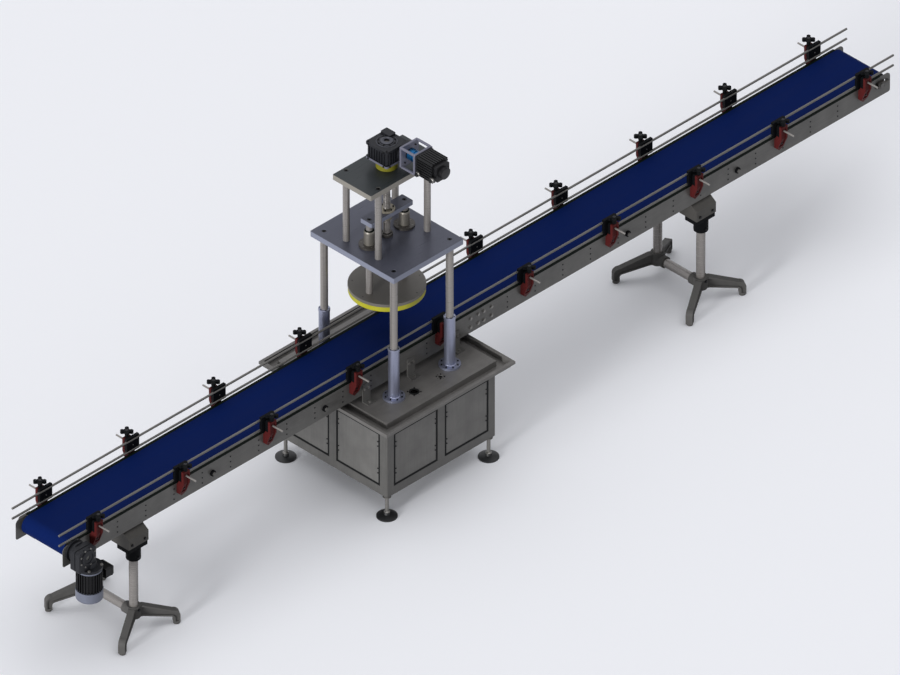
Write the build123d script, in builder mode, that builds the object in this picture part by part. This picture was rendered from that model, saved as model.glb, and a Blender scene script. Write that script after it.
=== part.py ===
from build123d import *
import os
from math import atan2, ceil, cos, hypot, pi, sin, sqrt

# Bucket capping machine, in millimetres. X runs along the conveyor, Y across it and Z up.
# The origin is on the floor under the middle of the conveyor.

# Clearances shared by every fit
running_gap = 0.05
soft_gap = 0.3
seat_gap = 0.2

# Length of each of the conveyor's two frame sections, and what is placed from the frame's ends
section_length = 2975.0
drum_inset = 75.0
drive_roller_insets = (1057.0, 1855.0)
tail_roller_insets = (1120.0, 1918.0)
stand_insets = (510.0, 1367.0)
rail_overhang = 25.0

# Belt and drums
belt_top = 775.0
belt_width = 300.0
belt_thickness = 2.0
drum_radius = 50.2
drum_crown = 0.8
drum_length = 296.0
drum_shaft_radius = 12.5
drive_drum_x = drum_inset - section_length
tail_drum_x = section_length - drum_inset
drum_z = belt_top - belt_thickness - soft_gap - drum_radius
return_roller_radius = 20.0
return_roller_length = 310.0
return_roller_z = 700.0
return_axle_radius = 10.0
return_axle_stub = 22.0
return_roller_xs = [inset - section_length for inset in drive_roller_insets]
return_roller_xs += [section_length - inset for inset in reversed(tail_roller_insets)]

# Conveyor frame: two folded channels a side, butted at the middle
section_joint = 1.0
end_top_round = 26.0
end_bottom_round = 12.0
frame_half_width = 170.0
frame_wall = 3.0
frame_height = 120.0
strip_height = 10.0
strip_width = 19.0
top_flange = 19.0
bottom_flange = 60.0
frame_top = belt_top - strip_height
frame_bottom = frame_top - frame_height
frame_middle = frame_top - frame_height / 2
frame_inner = frame_half_width - frame_wall
splice_xs = (-75.0, -20.0, 20.0, 75.0)
splice_row = 27.0
splice_hole_radius = 5.5
splice_margin = 20.0
splice_thickness = 5.0
bed_sheet = 3.0
bed_lip = 18.0
bed_half_width = 147.0
bed_end_gap = 68.0
cross_member_width = 30.0
cross_member_height = 25.0
cross_members_a_section = 5
take_up_travel = 40.0
bearing_flange = 86.0
bearing_plate = 12.0
bearing_boss_radius = 30.0
bearing_boss_height = 14.0
take_up_block_length = 46.0
take_up_block_height = 36.0
take_up_block_depth = 14.0
take_up_screw_radius = 5.0
take_up_screw_length = 62.0
shaft_stub = 30.0

# Guide rails on their brackets
rail_length = 2 * (section_length + rail_overhang)
rail_radius = 6.0
rail_y = 168.0
rail_low_z = 791.0
rail_pitch = 62.0
rail_middle_z = rail_low_z + rail_pitch / 2
bracket_pitch = 614.0
bracket_end_margin = 100.0
brackets_a_side = 2 * round((section_length - bracket_end_margin) / bracket_pitch)
bracket_width = 46.0
bracket_post = 15.0
bracket_recess = 5.0
bracket_cheek = 8.0
tongue_tip_z = 684.0
tongue_shoulder = 22.0
tongue_thickness = 14.0
clamp_inner = 185.0
clamp_depth = 20.0
clamp_width = 44.0
clamp_below_rod = 36.0
clamp_above_rod = 28.0
ledge_lip = 6.0
ledge_root = 28.0
guide_play = 2.0
cross_rod_radius = 5.0
cross_rod_end = 287.0
cross_rod_seat = 6.0
holder_width = 87.0
holder_below = 8.0
holder_above = 18.0
holder_inner = 165.0
holder_outer = 181.8
knob_radius = 34.0
knob_lobe_radius = 10.5
knob_height = 17.0
knob_stem_radius = 11.0
knob_stem_height = 22.0
stud_radius = 4.0
clamp_screw_radius = 6.5
clamp_screw_height = 8.0

# Conveyor drive: worm gearbox on the drum shaft with a motor hanging below it
drive_box_width = 120.0
drive_box_top = 770.0
drive_box_bottom = frame_bottom - 1
drive_box_depth = 66.0
drive_box_corner = 14.0
drive_box_groove = 5.0
drive_flange_radius = 60.0
drive_flange_plate = 12.0
drive_flange_thickness = 38.0
drive_neck_radius = 46.0
drive_collar_radius = 55.0
drive_boss_radius = 42.0
drive_boss_height = 6.0
drive_boss_recess_radius = 33.0
drive_boss_recess = 4.0
drive_boss_screws = 8
drive_box_y = -(frame_half_width + drive_flange_thickness + drive_box_depth / 2)
motor_offset = 40.0
motor_x = drive_drum_x + motor_offset
motor_neck_radius = 46.0
motor_flange_radius = 70.0
motor_flange_height = 15.0
motor_bell_radius = 67.0
motor_bell_height = 10.0
motor_core_radius = 61.0
motor_fin_radius = 69.0
motor_fin_count = 28
motor_fin_thickness = 4.0
motor_stator_height = 116.0
fan_cover_radius = 71.0
fan_cover_height = 61.0
fan_cover_round = 12.0
terminal_box_length = 64.0
terminal_box_width = 84.0
terminal_box_height = 56.0
terminal_neck = 8.0
terminal_lid = 12.0
terminal_drop = 26.0

# Stands: two pairs of tubes with cast two-legged bases
stand_xs = (stand_insets[0] - section_length, section_length - stand_insets[1])
stand_y = 155.0
stand_tube_radius = 24.0
stand_tube_wall = 3.0
head_length = 140.0
head_depth = 125.0
head_height = 105.0
head_slope_out = 39.0
head_slope_down = 27.0
head_neck_height = 17.0
head_sheet = 4.0
socket_depth = 92.0
socket_inset = 2.0
socket_plate = 26.0
socket_boss_radius = 39.0
socket_boss_height = 72.0
socket_grip = 48.0
stand_hub_radius = 37.0
stand_hub_bottom = 84.0
stand_hub_top = 152.0
stand_hub_floor = 8.0
leg_reach = 222.0
leg_angle = 30.3
leg_width = 36.0
leg_root = 46.0
leg_fall = 60.0
leg_arch = 30.0
leg_shoulder = 34.0
leg_rim = 9.0
leg_groove_depth = 7.0
foot_radius = 17.0
foot_height = 10.0
cross_tube_z = 112.0
cross_boss_radius = 32.0
cross_boss_length = 24.0

# Press cabinet
press_x = -505.0
cabinet_size = 780.0
cabinet_bottom = 137.0
cabinet_top = 563.0
tube = 50.0
tube_corner = 8.0
seal_width = 12.0
seal_depth = 14.0
seal_recess = 1.0
panel_thickness = 3.0
panel_recess = 2.0
tray_overhang = 71.0
tray_size = cabinet_size + 2 * tray_overhang
tray_sheet = 3.0
tray_wall = 2.0
tray_rim = 16.0
tray_lip = 17.0
tray_below_table = 2.0
table_overhang = 2.5
table_size = cabinet_size + 2 * table_overhang
table_sheet = 4.0
table_top = 600.0
entry_x = 94.0
entry_y = -290.0
entry_radius = 24.0
entry_screw_circle = 34.0
entry_screw_radius = 3.0
plug_radius = 11.0
frame_bracket_width = 55.0
frame_bracket_thickness = 5.0
frame_bracket_height = 107.0
frame_bracket_foot = 45.0
frame_bracket_pitch = 320.0
spindle_radius = 10.0
spindle_bore_depth = 110.0
spindle_grip = 50.0
pad_radius = 55.0
pad_edge = 7.0
pad_dome = 8.0
pad_neck_radius = 17.0
pad_neck_height = 12.0

# Press head
column_radius = 20.0
column_pitch_x = 400.0
column_pitch_y = 500.0
column_bottom = 670.0
sleeve_radius = 29.0
sleeve_collar_radius = 31.0
sleeve_collar_height = 12.0
sleeve_top = 904.0
sleeve_flange_radius = 57.5
sleeve_flange_height = 12.0
sleeve_fillet = 4.0
head_plate_x = 500.0
head_plate_y = 600.0
head_plate_thickness = 32.0
head_plate_top = 1381.0
plate_chamfer = 3.0
upper_column_radius = 18.0
upper_column_pitch_x = 350.0
upper_column_pitch_y = 230.0
upper_column_length = 399.0
gearbox_plate_x = 500.0
gearbox_plate_y = 275.0
gearbox_plate_thickness = 30.0
screw_head_radius = 13.0
screw_head_depth = 13.0
screw_hole_radius = 8.5
head_plate_bottom = head_plate_top - head_plate_thickness
gearbox_plate_bottom = head_plate_top + upper_column_length
gearbox_plate_top = gearbox_plate_bottom + gearbox_plate_thickness

# Ram: crosshead, nut, two guide rods and the round press plate
guide_rod_radius = 18.0
guide_rod_x = 125.0
bush_radius = 28.5
bush_flange_radius = 55.0
bush_flange_height = 12.0
bush_height = 92.0
bush_screws = 6
bush_screw_circle = 43.0
bush_screw_radius = 4.5
crosshead_x = 300.0
crosshead_y = 80.0
crosshead_thickness = 25.0
crosshead_top = 1540.0
crosshead_corner = 4.0
screw_radius = 18.0
journal_radius = 12.5
drive_journal_radius = 14.0
screw_bearing_radius = 31.0
screw_bearing_height = 20.0
screw_bearing_spigot = 26.0
screw_bearing_depth = 16.0
journal_length = 30.0
nut_flange_radius = 42.5
nut_flange_height = 12.0
nut_radius = 26.5
nut_below = 30.0
press_radius = 200.0
press_plate_thickness = 16.0
press_plate_top = 1088.0
pad_thickness = 30.0
pad_inset = 1.5
pad_round = 4.0
plate_screw_circle = 177.0
plate_screw_count = 7
plate_screw_start = 130.0
plate_screw_radius = 3.5
crosshead_bottom = crosshead_top - crosshead_thickness
press_plate_bottom = press_plate_top - press_plate_thickness

# Worm gearbox, motor lantern and servo motor on the upper plate
ring_radius = 56.5
ring_height = 50.0
ring_bore = 22.0
box_size = 154.0
box_height = 100.0
box_flange = 14.0
box_waist = 6.0
box_corner = 10.0
box_ring_radius = 34.0
box_ring_height = 4.0
box_cover_x = 52.0
box_cover_y = 42.0
box_cover_length = 46.0
box_cover_width = 66.0
box_cover_height = 12.0
worm_x = 63.0
worm_rise = 45.0
worm_case_radius = 40.0
worm_case_back = 70.0
input_flange_radius = 64.0
input_flange_length = 20.0
input_cone_radius = 52.0
input_cone_length = 40.0
lantern_size = 126.0
lantern_near = 92.0
lantern_far = 201.0
lantern_plate = 12.0
lantern_bar = 12.0
lantern_bore = 31.0
coupling_radius = 32.0
coupling_length = 74.0
coupling_slot = 6.0
input_shaft_radius = 9.0
input_shaft_overlap = 24.0
servo_size = 116.0
servo_flange = 12.0
servo_length = 104.0
servo_corner = 12.0
servo_fin_depth = 6.0
servo_fin_count = 7
servo_fin_gap = 6.0
servo_cap_size = 92.0
servo_cap_length = 22.0
encoder_radius = 33.0
encoder_length = 20.0
socket_radius = 11.0
socket_height = 24.0
box_bottom = gearbox_plate_top + ring_height
box_top = box_bottom + box_height
worm_z = box_bottom + worm_rise

os.makedirs("parts", exist_ok=True)

bracket_xs = [(i - (brackets_a_side - 1) / 2) * bracket_pitch for i in range(brackets_a_side)]


def beside_sleeve(x):
    """Whether a bracket stands beside a column sleeve, where a star knob has no room to turn."""
    reach = sleeve_radius + knob_radius
    return any(abs(press_x + s * column_pitch_x / 2 - x) < reach for s in (-1, 1))


# Cabinet

panel_open_x = (cabinet_size - 3 * tube) / 2
panel_open_z = cabinet_top - cabinet_bottom - 2 * tube
panel_pitch = panel_open_x + tube
post_pitch = cabinet_size - tube


def cabinet_side(angle, depth):
    """A plane on one side of the cabinet, a given depth inside its face, facing out."""
    out = Vector(1, 0, 0).rotate(Axis.Z, angle)
    along = Vector(0, 1, 0).rotate(Axis.Z, angle)
    middle = Vector(press_x, 0, (cabinet_bottom + cabinet_top) / 2)
    return Plane(middle + out * (cabinet_size / 2 - depth), x_dir=along, z_dir=out)


with BuildPart() as cabinet_frame:
    for level in (cabinet_bottom, cabinet_top - tube):
        with BuildSketch(Plane.XY.offset(level)):
            with Locations((press_x, 0)):
                Rectangle(cabinet_size, cabinet_size)
                Rectangle(cabinet_size - 2 * tube, cabinet_size - 2 * tube, mode=Mode.SUBTRACT)
        extrude(amount=tube)
    with BuildSketch(Plane.XY.offset(cabinet_bottom)):
        with Locations((press_x, 0)):
            with GridLocations(post_pitch / 2, post_pitch / 2, 3, 3):
                Rectangle(tube, tube)
            Rectangle(post_pitch - tube, post_pitch - tube, mode=Mode.SUBTRACT)
    extrude(amount=cabinet_top - cabinet_bottom)
    corners = cabinet_frame.edges().filter_by(Axis.Z).group_by(
        lambda e: round(hypot(e.center().X - press_x, e.center().Y), 3))[-1]
    fillet(corners, tube_corner)
    with BuildSketch(Plane.XY.offset(cabinet_bottom)):
        with Locations((press_x, 0)):
            with GridLocations(post_pitch, post_pitch, 2, 2):
                Circle(spindle_radius + running_gap)
    extrude(amount=spindle_bore_depth, mode=Mode.SUBTRACT)
cabinet_frame.part.label = "cabinet_frame"
export_step(cabinet_frame.part, "parts/cabinet_frame.step")

with BuildPart() as panel_seals:
    for angle in (0, 90, 180, 270):
        with BuildSketch(cabinet_side(angle, seal_recess)):
            with GridLocations(panel_pitch, panel_pitch, 2, 1):
                Rectangle(panel_open_x, panel_open_z)
                Rectangle(panel_open_x - 2 * seal_width, panel_open_z - 2 * seal_width,
                          mode=Mode.SUBTRACT)
        extrude(amount=-seal_depth)
panel_seals.part.label = "panel_seals"
export_step(panel_seals.part, "parts/panel_seals.step")

with BuildPart() as cabinet_panels:
    for angle in (0, 90, 180, 270):
        with BuildSketch(cabinet_side(angle, panel_recess)):
            with GridLocations(panel_pitch, panel_pitch, 2, 1):
                Rectangle(panel_open_x - 2 * seal_width, panel_open_z - 2 * seal_width)
        extrude(amount=-panel_thickness)
cabinet_panels.part.label = "cabinet_panels"
export_step(cabinet_panels.part, "parts/cabinet_panels.step")

# Drip tray: a pan with a rolled-over rim, around the raised table top
tray_floor_top = cabinet_top + tray_sheet
rim_top = table_top - tray_below_table
pan_size = tray_size - 2 * tray_rim
with BuildPart() as drip_tray:
    with BuildSketch(Plane.XY.offset(cabinet_top)):
        with Locations((press_x, 0)):
            Rectangle(pan_size, pan_size)
    extrude(amount=rim_top - cabinet_top)
    with BuildSketch(Plane.XY.offset(rim_top)):
        with Locations((press_x, 0)):
            Rectangle(tray_size, tray_size)
    extrude(amount=-tray_lip)
    with BuildSketch(Plane.XY.offset(rim_top - tray_lip)):
        with Locations((press_x, 0)):
            Rectangle(tray_size - 2 * tray_wall, tray_size - 2 * tray_wall)
            Rectangle(pan_size, pan_size, mode=Mode.SUBTRACT)
    extrude(amount=tray_lip - tray_wall, mode=Mode.SUBTRACT)
    with BuildSketch(Plane.XY.offset(tray_floor_top)):
        with Locations((press_x, 0)):
            Rectangle(pan_size - 2 * tray_wall, pan_size - 2 * tray_wall)
    extrude(amount=rim_top - tray_floor_top, mode=Mode.SUBTRACT)
    rim_edges = drip_tray.edges().filter_by(GeomType.LINE).filter_by(
        lambda e: abs(e.center().Z - rim_top) < 0.01)
    outline = rim_edges.group_by(lambda e: round(e.length, 2))[-1]
    fillet(outline, tray_wall * 0.9)
drip_tray.part.label = "drip_tray"
export_step(drip_tray.part, "parts/drip_tray.step")

with BuildPart() as table_top_cover:
    with BuildSketch(Plane.XY.offset(tray_floor_top)):
        with Locations((press_x, 0)):
            Rectangle(table_size, table_size)
    extrude(amount=table_top - tray_floor_top)
    with BuildSketch(Plane.XY.offset(tray_floor_top)):
        with Locations((press_x, 0)):
            Rectangle(table_size - 2 * table_sheet, table_size - 2 * table_sheet)
    extrude(amount=table_top - tray_floor_top - table_sheet, mode=Mode.SUBTRACT)
    with BuildSketch(Plane.XY.offset(table_top)):
        with Locations((press_x - entry_x, entry_y)):
            Circle(entry_radius)
            with PolarLocations(entry_screw_circle, 4):
                Circle(entry_screw_radius)
        with Locations((press_x + entry_x, entry_y)):
            Circle(plug_radius)
            with PolarLocations(entry_screw_circle * 0.6, 4):
                Circle(entry_screw_radius)
    extrude(amount=-table_sheet, mode=Mode.SUBTRACT)
table_top_cover.part.label = "table_top"
export_step(table_top_cover.part, "parts/table_top.step")

with BuildPart() as column_sleeves:
    with BuildSketch(Plane.XY.offset(table_top)):
        with Locations((press_x, 0)):
            with GridLocations(column_pitch_x, column_pitch_y, 2, 2):
                Circle(sleeve_flange_radius)
    extrude(amount=sleeve_flange_height)
    with BuildSketch(Plane.XY.offset(table_top)):
        with Locations((press_x, 0)):
            with GridLocations(column_pitch_x, column_pitch_y, 2, 2):
                Circle(sleeve_radius)
    extrude(amount=sleeve_top - table_top)
    roots = column_sleeves.edges().filter_by(GeomType.CIRCLE).filter_by(
        lambda e: abs(e.center().Z - table_top - sleeve_flange_height) < 0.01
        and e.radius < sleeve_flange_radius - 1)
    fillet(roots, sleeve_fillet)
    with BuildSketch(Plane.XY.offset(sleeve_top)):
        with Locations((press_x, 0)):
            with GridLocations(column_pitch_x, column_pitch_y, 2, 2):
                Circle(sleeve_collar_radius)
    extrude(amount=-sleeve_collar_height)
    chamfer(column_sleeves.edges().group_by(Axis.Z)[-1], 1.5)
    with BuildSketch(Plane.XY.offset(table_top)):
        with Locations((press_x, 0)):
            with GridLocations(column_pitch_x, column_pitch_y, 2, 2):
                Circle(column_radius + running_gap)
    extrude(amount=sleeve_top - table_top, mode=Mode.SUBTRACT)
column_sleeves.part.label = "column_sleeves"
export_step(column_sleeves.part, "parts/column_sleeves.step")

with BuildPart() as frame_brackets:
    for step in (-1, 0, 1):
        x = press_x + step * frame_bracket_pitch - frame_bracket_width / 2
        with BuildSketch(Plane.YZ.offset(x)):
            with BuildLine():
                Polyline((frame_half_width, table_top),
                         (frame_half_width + frame_bracket_foot, table_top),
                         (frame_half_width + frame_bracket_foot, table_top + frame_bracket_thickness),
                         (frame_half_width + frame_bracket_thickness, table_top + frame_bracket_thickness),
                         (frame_half_width + frame_bracket_thickness, table_top + frame_bracket_height),
                         (frame_half_width, table_top + frame_bracket_height),
                         close=True)
            make_face()
            mirror(about=Plane.YZ)
        extrude(amount=frame_bracket_width)
frame_brackets.part.label = "frame_brackets"
export_step(frame_brackets.part, "parts/frame_brackets.step")


# Conveyor frame

shaft_hole_radius = drum_shaft_radius + 8
section_starts = (-section_length, section_joint / 2)
section_run = section_length - section_joint / 2

with BuildPart() as side_frames:
    for start in section_starts:
        with BuildSketch(Plane.YZ.offset(start)):
            with BuildLine():
                Polyline((frame_half_width, frame_bottom),
                         (frame_half_width, frame_top),
                         (frame_half_width - top_flange, frame_top),
                         (frame_half_width - top_flange, frame_top - frame_wall),
                         (frame_inner, frame_top - frame_wall),
                         (frame_inner, frame_bottom + frame_wall),
                         (frame_half_width - bottom_flange, frame_bottom + frame_wall),
                         (frame_half_width - bottom_flange, frame_bottom),
                         close=True)
            make_face()
            mirror(about=Plane.YZ)
        extrude(amount=section_run)
    for end in (-1, 1):
        with BuildSketch(Plane.XY.offset(frame_bottom)):
            with Locations((end * (section_length - drum_inset / 2), 0)):
                Rectangle(drum_inset, 2 * frame_inner)
        extrude(amount=frame_height, mode=Mode.SUBTRACT)
        corners = side_frames.edges().filter_by(Axis.Y).filter_by(
            lambda e: abs(e.center().X - end * section_length) < 0.01)
        fillet(corners.group_by(Axis.Z)[-1], end_top_round)
        corners = side_frames.edges().filter_by(Axis.Y).filter_by(
            lambda e: abs(e.center().X - end * section_length) < 0.01)
        fillet(corners.group_by(Axis.Z)[0], end_bottom_round)
    with BuildSketch(Plane.XZ):
        with Locations(*[(x, return_roller_z) for x in return_roller_xs]):
            Circle(return_axle_radius + running_gap)
        with Locations((drive_drum_x, drum_z)):
            Circle(shaft_hole_radius)
        with Locations((tail_drum_x, drum_z)):
            SlotCenterToCenter(take_up_travel, 2 * shaft_hole_radius)
        with Locations(*[(x, frame_middle + s * splice_row) for x in splice_xs for s in (-1, 1)]):
            Circle(splice_hole_radius)
    extrude(amount=2 * frame_half_width, both=True, mode=Mode.SUBTRACT)
side_frames.part.label = "side_frames"
export_step(side_frames.part, "parts/side_frames.step")

splice_half = max(splice_xs) + splice_margin
with BuildPart() as splice_plates:
    for side in (-1, 1):
        with BuildSketch(Plane.XZ.offset(side * frame_inner)):
            with Locations((0, frame_middle)):
                Rectangle(2 * splice_half, 2 * (splice_row + splice_margin))
            with Locations(*[(x, frame_middle + s * splice_row)
                             for x in splice_xs for s in (-1, 1)]):
                Circle(splice_hole_radius, mode=Mode.SUBTRACT)
        extrude(amount=-side * splice_thickness)
splice_plates.part.label = "splice_plates"
export_step(splice_plates.part, "parts/splice_plates.step")

bed_top = belt_top - belt_thickness - soft_gap
bed_bottom = bed_top - bed_sheet
bed_left = drive_drum_x + bed_end_gap
bed_right = tail_drum_x - bed_end_gap
with BuildPart() as slider_beds:
    for start, end in ((bed_left, -section_joint / 2), (section_joint / 2, bed_right)):
        with BuildSketch(Plane.YZ.offset(start)):
            with BuildLine():
                Polyline((0, bed_bottom), (bed_half_width - bed_sheet, bed_bottom),
                         (bed_half_width - bed_sheet, bed_top - bed_lip),
                         (bed_half_width, bed_top - bed_lip), (bed_half_width, bed_top),
                         (0, bed_top), close=True)
            make_face()
            mirror(about=Plane.YZ)
        extrude(amount=end - start)
slider_beds.part.label = "slider_beds"
export_step(slider_beds.part, "parts/slider_beds.step")

cross_top = bed_top - bed_lip
cross_pitch = section_length / cross_members_a_section
cross_xs = [side * (i + 0.5) * cross_pitch
            for side in (-1, 1) for i in range(cross_members_a_section)]
with BuildPart() as cross_members:
    for x in cross_xs:
        with BuildSketch(Plane.XZ.offset(-frame_inner)):
            with Locations((x, cross_top - cross_member_height / 2)):
                RectangleRounded(cross_member_width, cross_member_height, 3)
                RectangleRounded(cross_member_width - 6, cross_member_height - 6, 1.5,
                                 mode=Mode.SUBTRACT)
        extrude(amount=2 * frame_inner)
cross_members.part.label = "cross_members"
export_step(cross_members.part, "parts/cross_members.step")

with BuildPart() as wear_strips:
    for start, end in ((drive_drum_x, -section_joint / 2), (section_joint / 2, tail_drum_x)):
        with BuildSketch(Plane.YZ.offset(start)):
            with Locations((frame_half_width - strip_width / 2, frame_top + strip_height / 2)):
                Rectangle(strip_width, strip_height)
            mirror(about=Plane.YZ)
        extrude(amount=end - start)
    tops = wear_strips.edges().filter_by(Axis.X).group_by(Axis.Z)[-1]
    chamfer(tops.group_by(lambda e: round(abs(e.center().Y), 2))[-1], 2)
wear_strips.part.label = "wear_strips"
export_step(wear_strips.part, "parts/wear_strips.step")

# Drum bearings: a flange unit on the far side of the drive end, sliding take-up blocks at the tail
with BuildPart() as drum_bearings:
    with BuildSketch(Plane.XZ.offset(-frame_half_width)):
        with Locations((drive_drum_x, drum_z)):
            RectangleRounded(bearing_flange, bearing_flange, 12)
    extrude(amount=-bearing_plate)
    with BuildSketch(Plane.XZ.offset(-frame_half_width - bearing_plate)):
        with Locations((drive_drum_x, drum_z)):
            Circle(bearing_boss_radius)
    extrude(amount=-bearing_boss_height, taper=8)
    for side in (-1, 1):
        face = side * frame_half_width
        with BuildSketch(Plane.XZ.offset(face)):
            with Locations((tail_drum_x, drum_z)):
                RectangleRounded(take_up_block_length, take_up_block_height, 4)
        extrude(amount=side * take_up_block_depth)
        with BuildSketch(Plane.YZ.offset(tail_drum_x + take_up_block_length / 2)):
            with Locations((-face - side * take_up_block_depth / 2, drum_z)):
                Circle(take_up_screw_radius)
        extrude(amount=take_up_screw_length - take_up_block_length / 2)
    with BuildSketch(Plane.XZ):
        with Locations((drive_drum_x, drum_z), (tail_drum_x, drum_z)):
            Circle(drum_shaft_radius + running_gap)
    extrude(amount=2 * frame_half_width, both=True, mode=Mode.SUBTRACT)
drum_bearings.part.label = "drum_bearings"
export_step(drum_bearings.part, "parts/drum_bearings.step")


# Belt: an endless band round both drums that runs back over the return rollers

def belt_loop(extra):
    """The closed line of one belt face, as arcs on the pulleys and straight runs between them.

    A pulley inside the loop counts its radius as positive, one outside it as negative."""
    inside = drum_radius + soft_gap + extra
    outside = -(return_roller_radius + soft_gap + belt_thickness) + extra
    pulleys = [(drive_drum_x, drum_z, inside)]
    pulleys += [(x, return_roller_z, outside) for x in (min(return_roller_xs), max(return_roller_xs))]
    pulleys += [(tail_drum_x, drum_z, inside)]
    headings = []
    for (x0, z0, r0), (x1, z1, r1) in zip(pulleys, pulleys[1:] + pulleys[:1]):
        span = hypot(x1 - x0, z1 - z0)
        run = sqrt(span * span - (r1 - r0) ** 2)
        headings.append(atan2(z1 - z0, x1 - x0) - atan2(r1 - r0, run))
    ends = []
    for i, (x, z, r) in enumerate(pulleys):
        into, away = headings[i - 1], headings[i]
        turn = (away - into) % (2 * pi) if r > 0 else (away - into + pi) % (2 * pi) - pi
        places = [into, into + turn / 2, away]
        ends.append([(x + r * sin(a), z - r * cos(a)) for a in places])
    for i, (start, middle, end) in enumerate(ends):
        ThreePointArc(start, middle, end)
        Line(end, ends[(i + 1) % len(ends)][0])


with BuildPart() as conveyor_belt:
    with BuildSketch(Plane.XZ):
        with BuildLine():
            belt_loop(belt_thickness)
        make_face()
        with BuildLine():
            belt_loop(0)
        make_face(mode=Mode.SUBTRACT)
    extrude(amount=belt_width / 2, both=True)
conveyor_belt.part.label = "conveyor_belt"
export_step(conveyor_belt.part, "parts/conveyor_belt.step")


drive_shaft_near = frame_half_width + drive_flange_thickness + drive_box_depth - 2
drum_shaft_out = frame_half_width + shaft_stub
for label, x, near_end in (("drive_drum", drive_drum_x, drive_shaft_near),
                           ("tail_drum", tail_drum_x, frame_half_width + take_up_block_depth + 6)):
    far_end = drum_shaft_out if label == "drive_drum" else near_end
    with BuildPart() as drum:
        edge = drum_radius - drum_crown
        half = drum_length / 2
        with BuildSketch(Plane((x, 0, drum_z), x_dir=(1, 0, 0), z_dir=(0, 0, 1))):
            with BuildLine():
                Polyline((edge, half), (0, half), (0, -half), (edge, -half))
                ThreePointArc((edge, -half), (drum_radius, 0), (edge, half))
            make_face()
        revolve(axis=Axis((x, 0, drum_z), (0, 1, 0)))
        with BuildSketch(Plane.XZ.offset(near_end)):
            with Locations((x, drum_z)):
                Circle(drum_shaft_radius)
        extrude(amount=-(near_end + far_end))
    drum.part.label = label
    export_step(drum.part, f"parts/{label}.step")

return_axle_end = frame_half_width + return_axle_stub
for number, x in enumerate(return_roller_xs, 1):
    with BuildPart() as return_roller:
        with BuildSketch(Plane.XZ.offset(-return_roller_length / 2)):
            with Locations((x, return_roller_z)):
                Circle(return_roller_radius)
        extrude(amount=return_roller_length)
        chamfer(return_roller.edges().filter_by(GeomType.CIRCLE), 2)
        with BuildSketch(Plane.XZ.offset(-return_axle_end)):
            with Locations((x, return_roller_z)):
                Circle(return_axle_radius)
        extrude(amount=2 * return_axle_end)
    return_roller.part.label = f"return_roller_{number}"
    export_step(return_roller.part, f"parts/return_roller_{number}.step")


# Conveyor drive

drive_face = drive_box_y - drive_box_depth / 2
drive_back = drive_box_y + drive_box_depth / 2
with BuildPart() as drive_gearbox:
    with BuildSketch(Plane.XZ.offset(-drive_back)):
        with Locations((drive_drum_x, (drive_box_top + drive_box_bottom) / 2)):
            RectangleRounded(drive_box_width, drive_box_top - drive_box_bottom, drive_box_corner)
    extrude(amount=drive_box_depth)
    fillet(drive_gearbox.faces().sort_by(Axis.Y)[0].edges(), 4)
    with BuildSketch(Plane.XZ.offset((drive_box_depth - drive_box_groove) / 2 - drive_back)):
        with Locations((drive_drum_x, (drive_box_top + drive_box_bottom) / 2)):
            Rectangle(drive_box_width, drive_box_top - drive_box_bottom)
            RectangleRounded(drive_box_width - 2 * drive_box_groove,
                             drive_box_top - drive_box_bottom - 2 * drive_box_groove,
                             drive_box_corner - drive_box_groove, mode=Mode.SUBTRACT)
    extrude(amount=drive_box_groove, mode=Mode.SUBTRACT)
    with BuildSketch(Plane.XY.offset(drive_box_bottom + 2 * drive_box_corner)):
        with Locations((motor_x, drive_box_y)):
            Circle(motor_neck_radius * 0.8)
    extrude(amount=-2 * drive_box_corner, taper=-12)
    with BuildSketch(Plane.XY.offset(drive_box_bottom)):
        with Locations((motor_x, drive_box_y)):
            Circle(motor_flange_radius)
    extrude(amount=-motor_flange_height)
    with BuildSketch(Plane.XZ.offset(frame_half_width)):
        with Locations((drive_drum_x, drum_z)):
            Circle(drive_flange_radius)
    extrude(amount=drive_flange_plate)
    with BuildSketch(Plane.XZ.offset(frame_half_width + drive_flange_plate)):
        with Locations((drive_drum_x, drum_z)):
            Circle(drive_neck_radius)
    extrude(amount=drive_flange_thickness - drive_flange_plate)
    with BuildSketch(Plane.XZ.offset(-drive_back)):
        with Locations((drive_drum_x, drum_z)):
            Circle(drive_collar_radius)
    extrude(amount=-drive_flange_plate)
    with BuildSketch(Plane.XZ.offset(-drive_face)):
        with Locations((drive_drum_x, drum_z)):
            Circle(drive_boss_radius)
    extrude(amount=drive_boss_height)
    with BuildSketch(Plane.XZ.offset(drive_boss_height - drive_face)):
        with Locations((drive_drum_x, drum_z)):
            Circle(drive_boss_recess_radius)
    extrude(amount=-drive_boss_recess, mode=Mode.SUBTRACT)
    with BuildSketch(Plane.XZ.offset(-drive_face)):
        with Locations((drive_drum_x, drum_z)):
            with PolarLocations(drive_boss_radius + 9, drive_boss_screws, start_angle=22.5):
                Circle(4)
    extrude(amount=-14, mode=Mode.SUBTRACT)
    with BuildSketch(Plane.XZ):
        with Locations((drive_drum_x, drum_z)):
            Circle(drum_shaft_radius + running_gap)
    extrude(amount=2 * frame_half_width, mode=Mode.SUBTRACT)
drive_gearbox.part.label = "drive_gearbox"
export_step(drive_gearbox.part, "parts/drive_gearbox.step")

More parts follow.
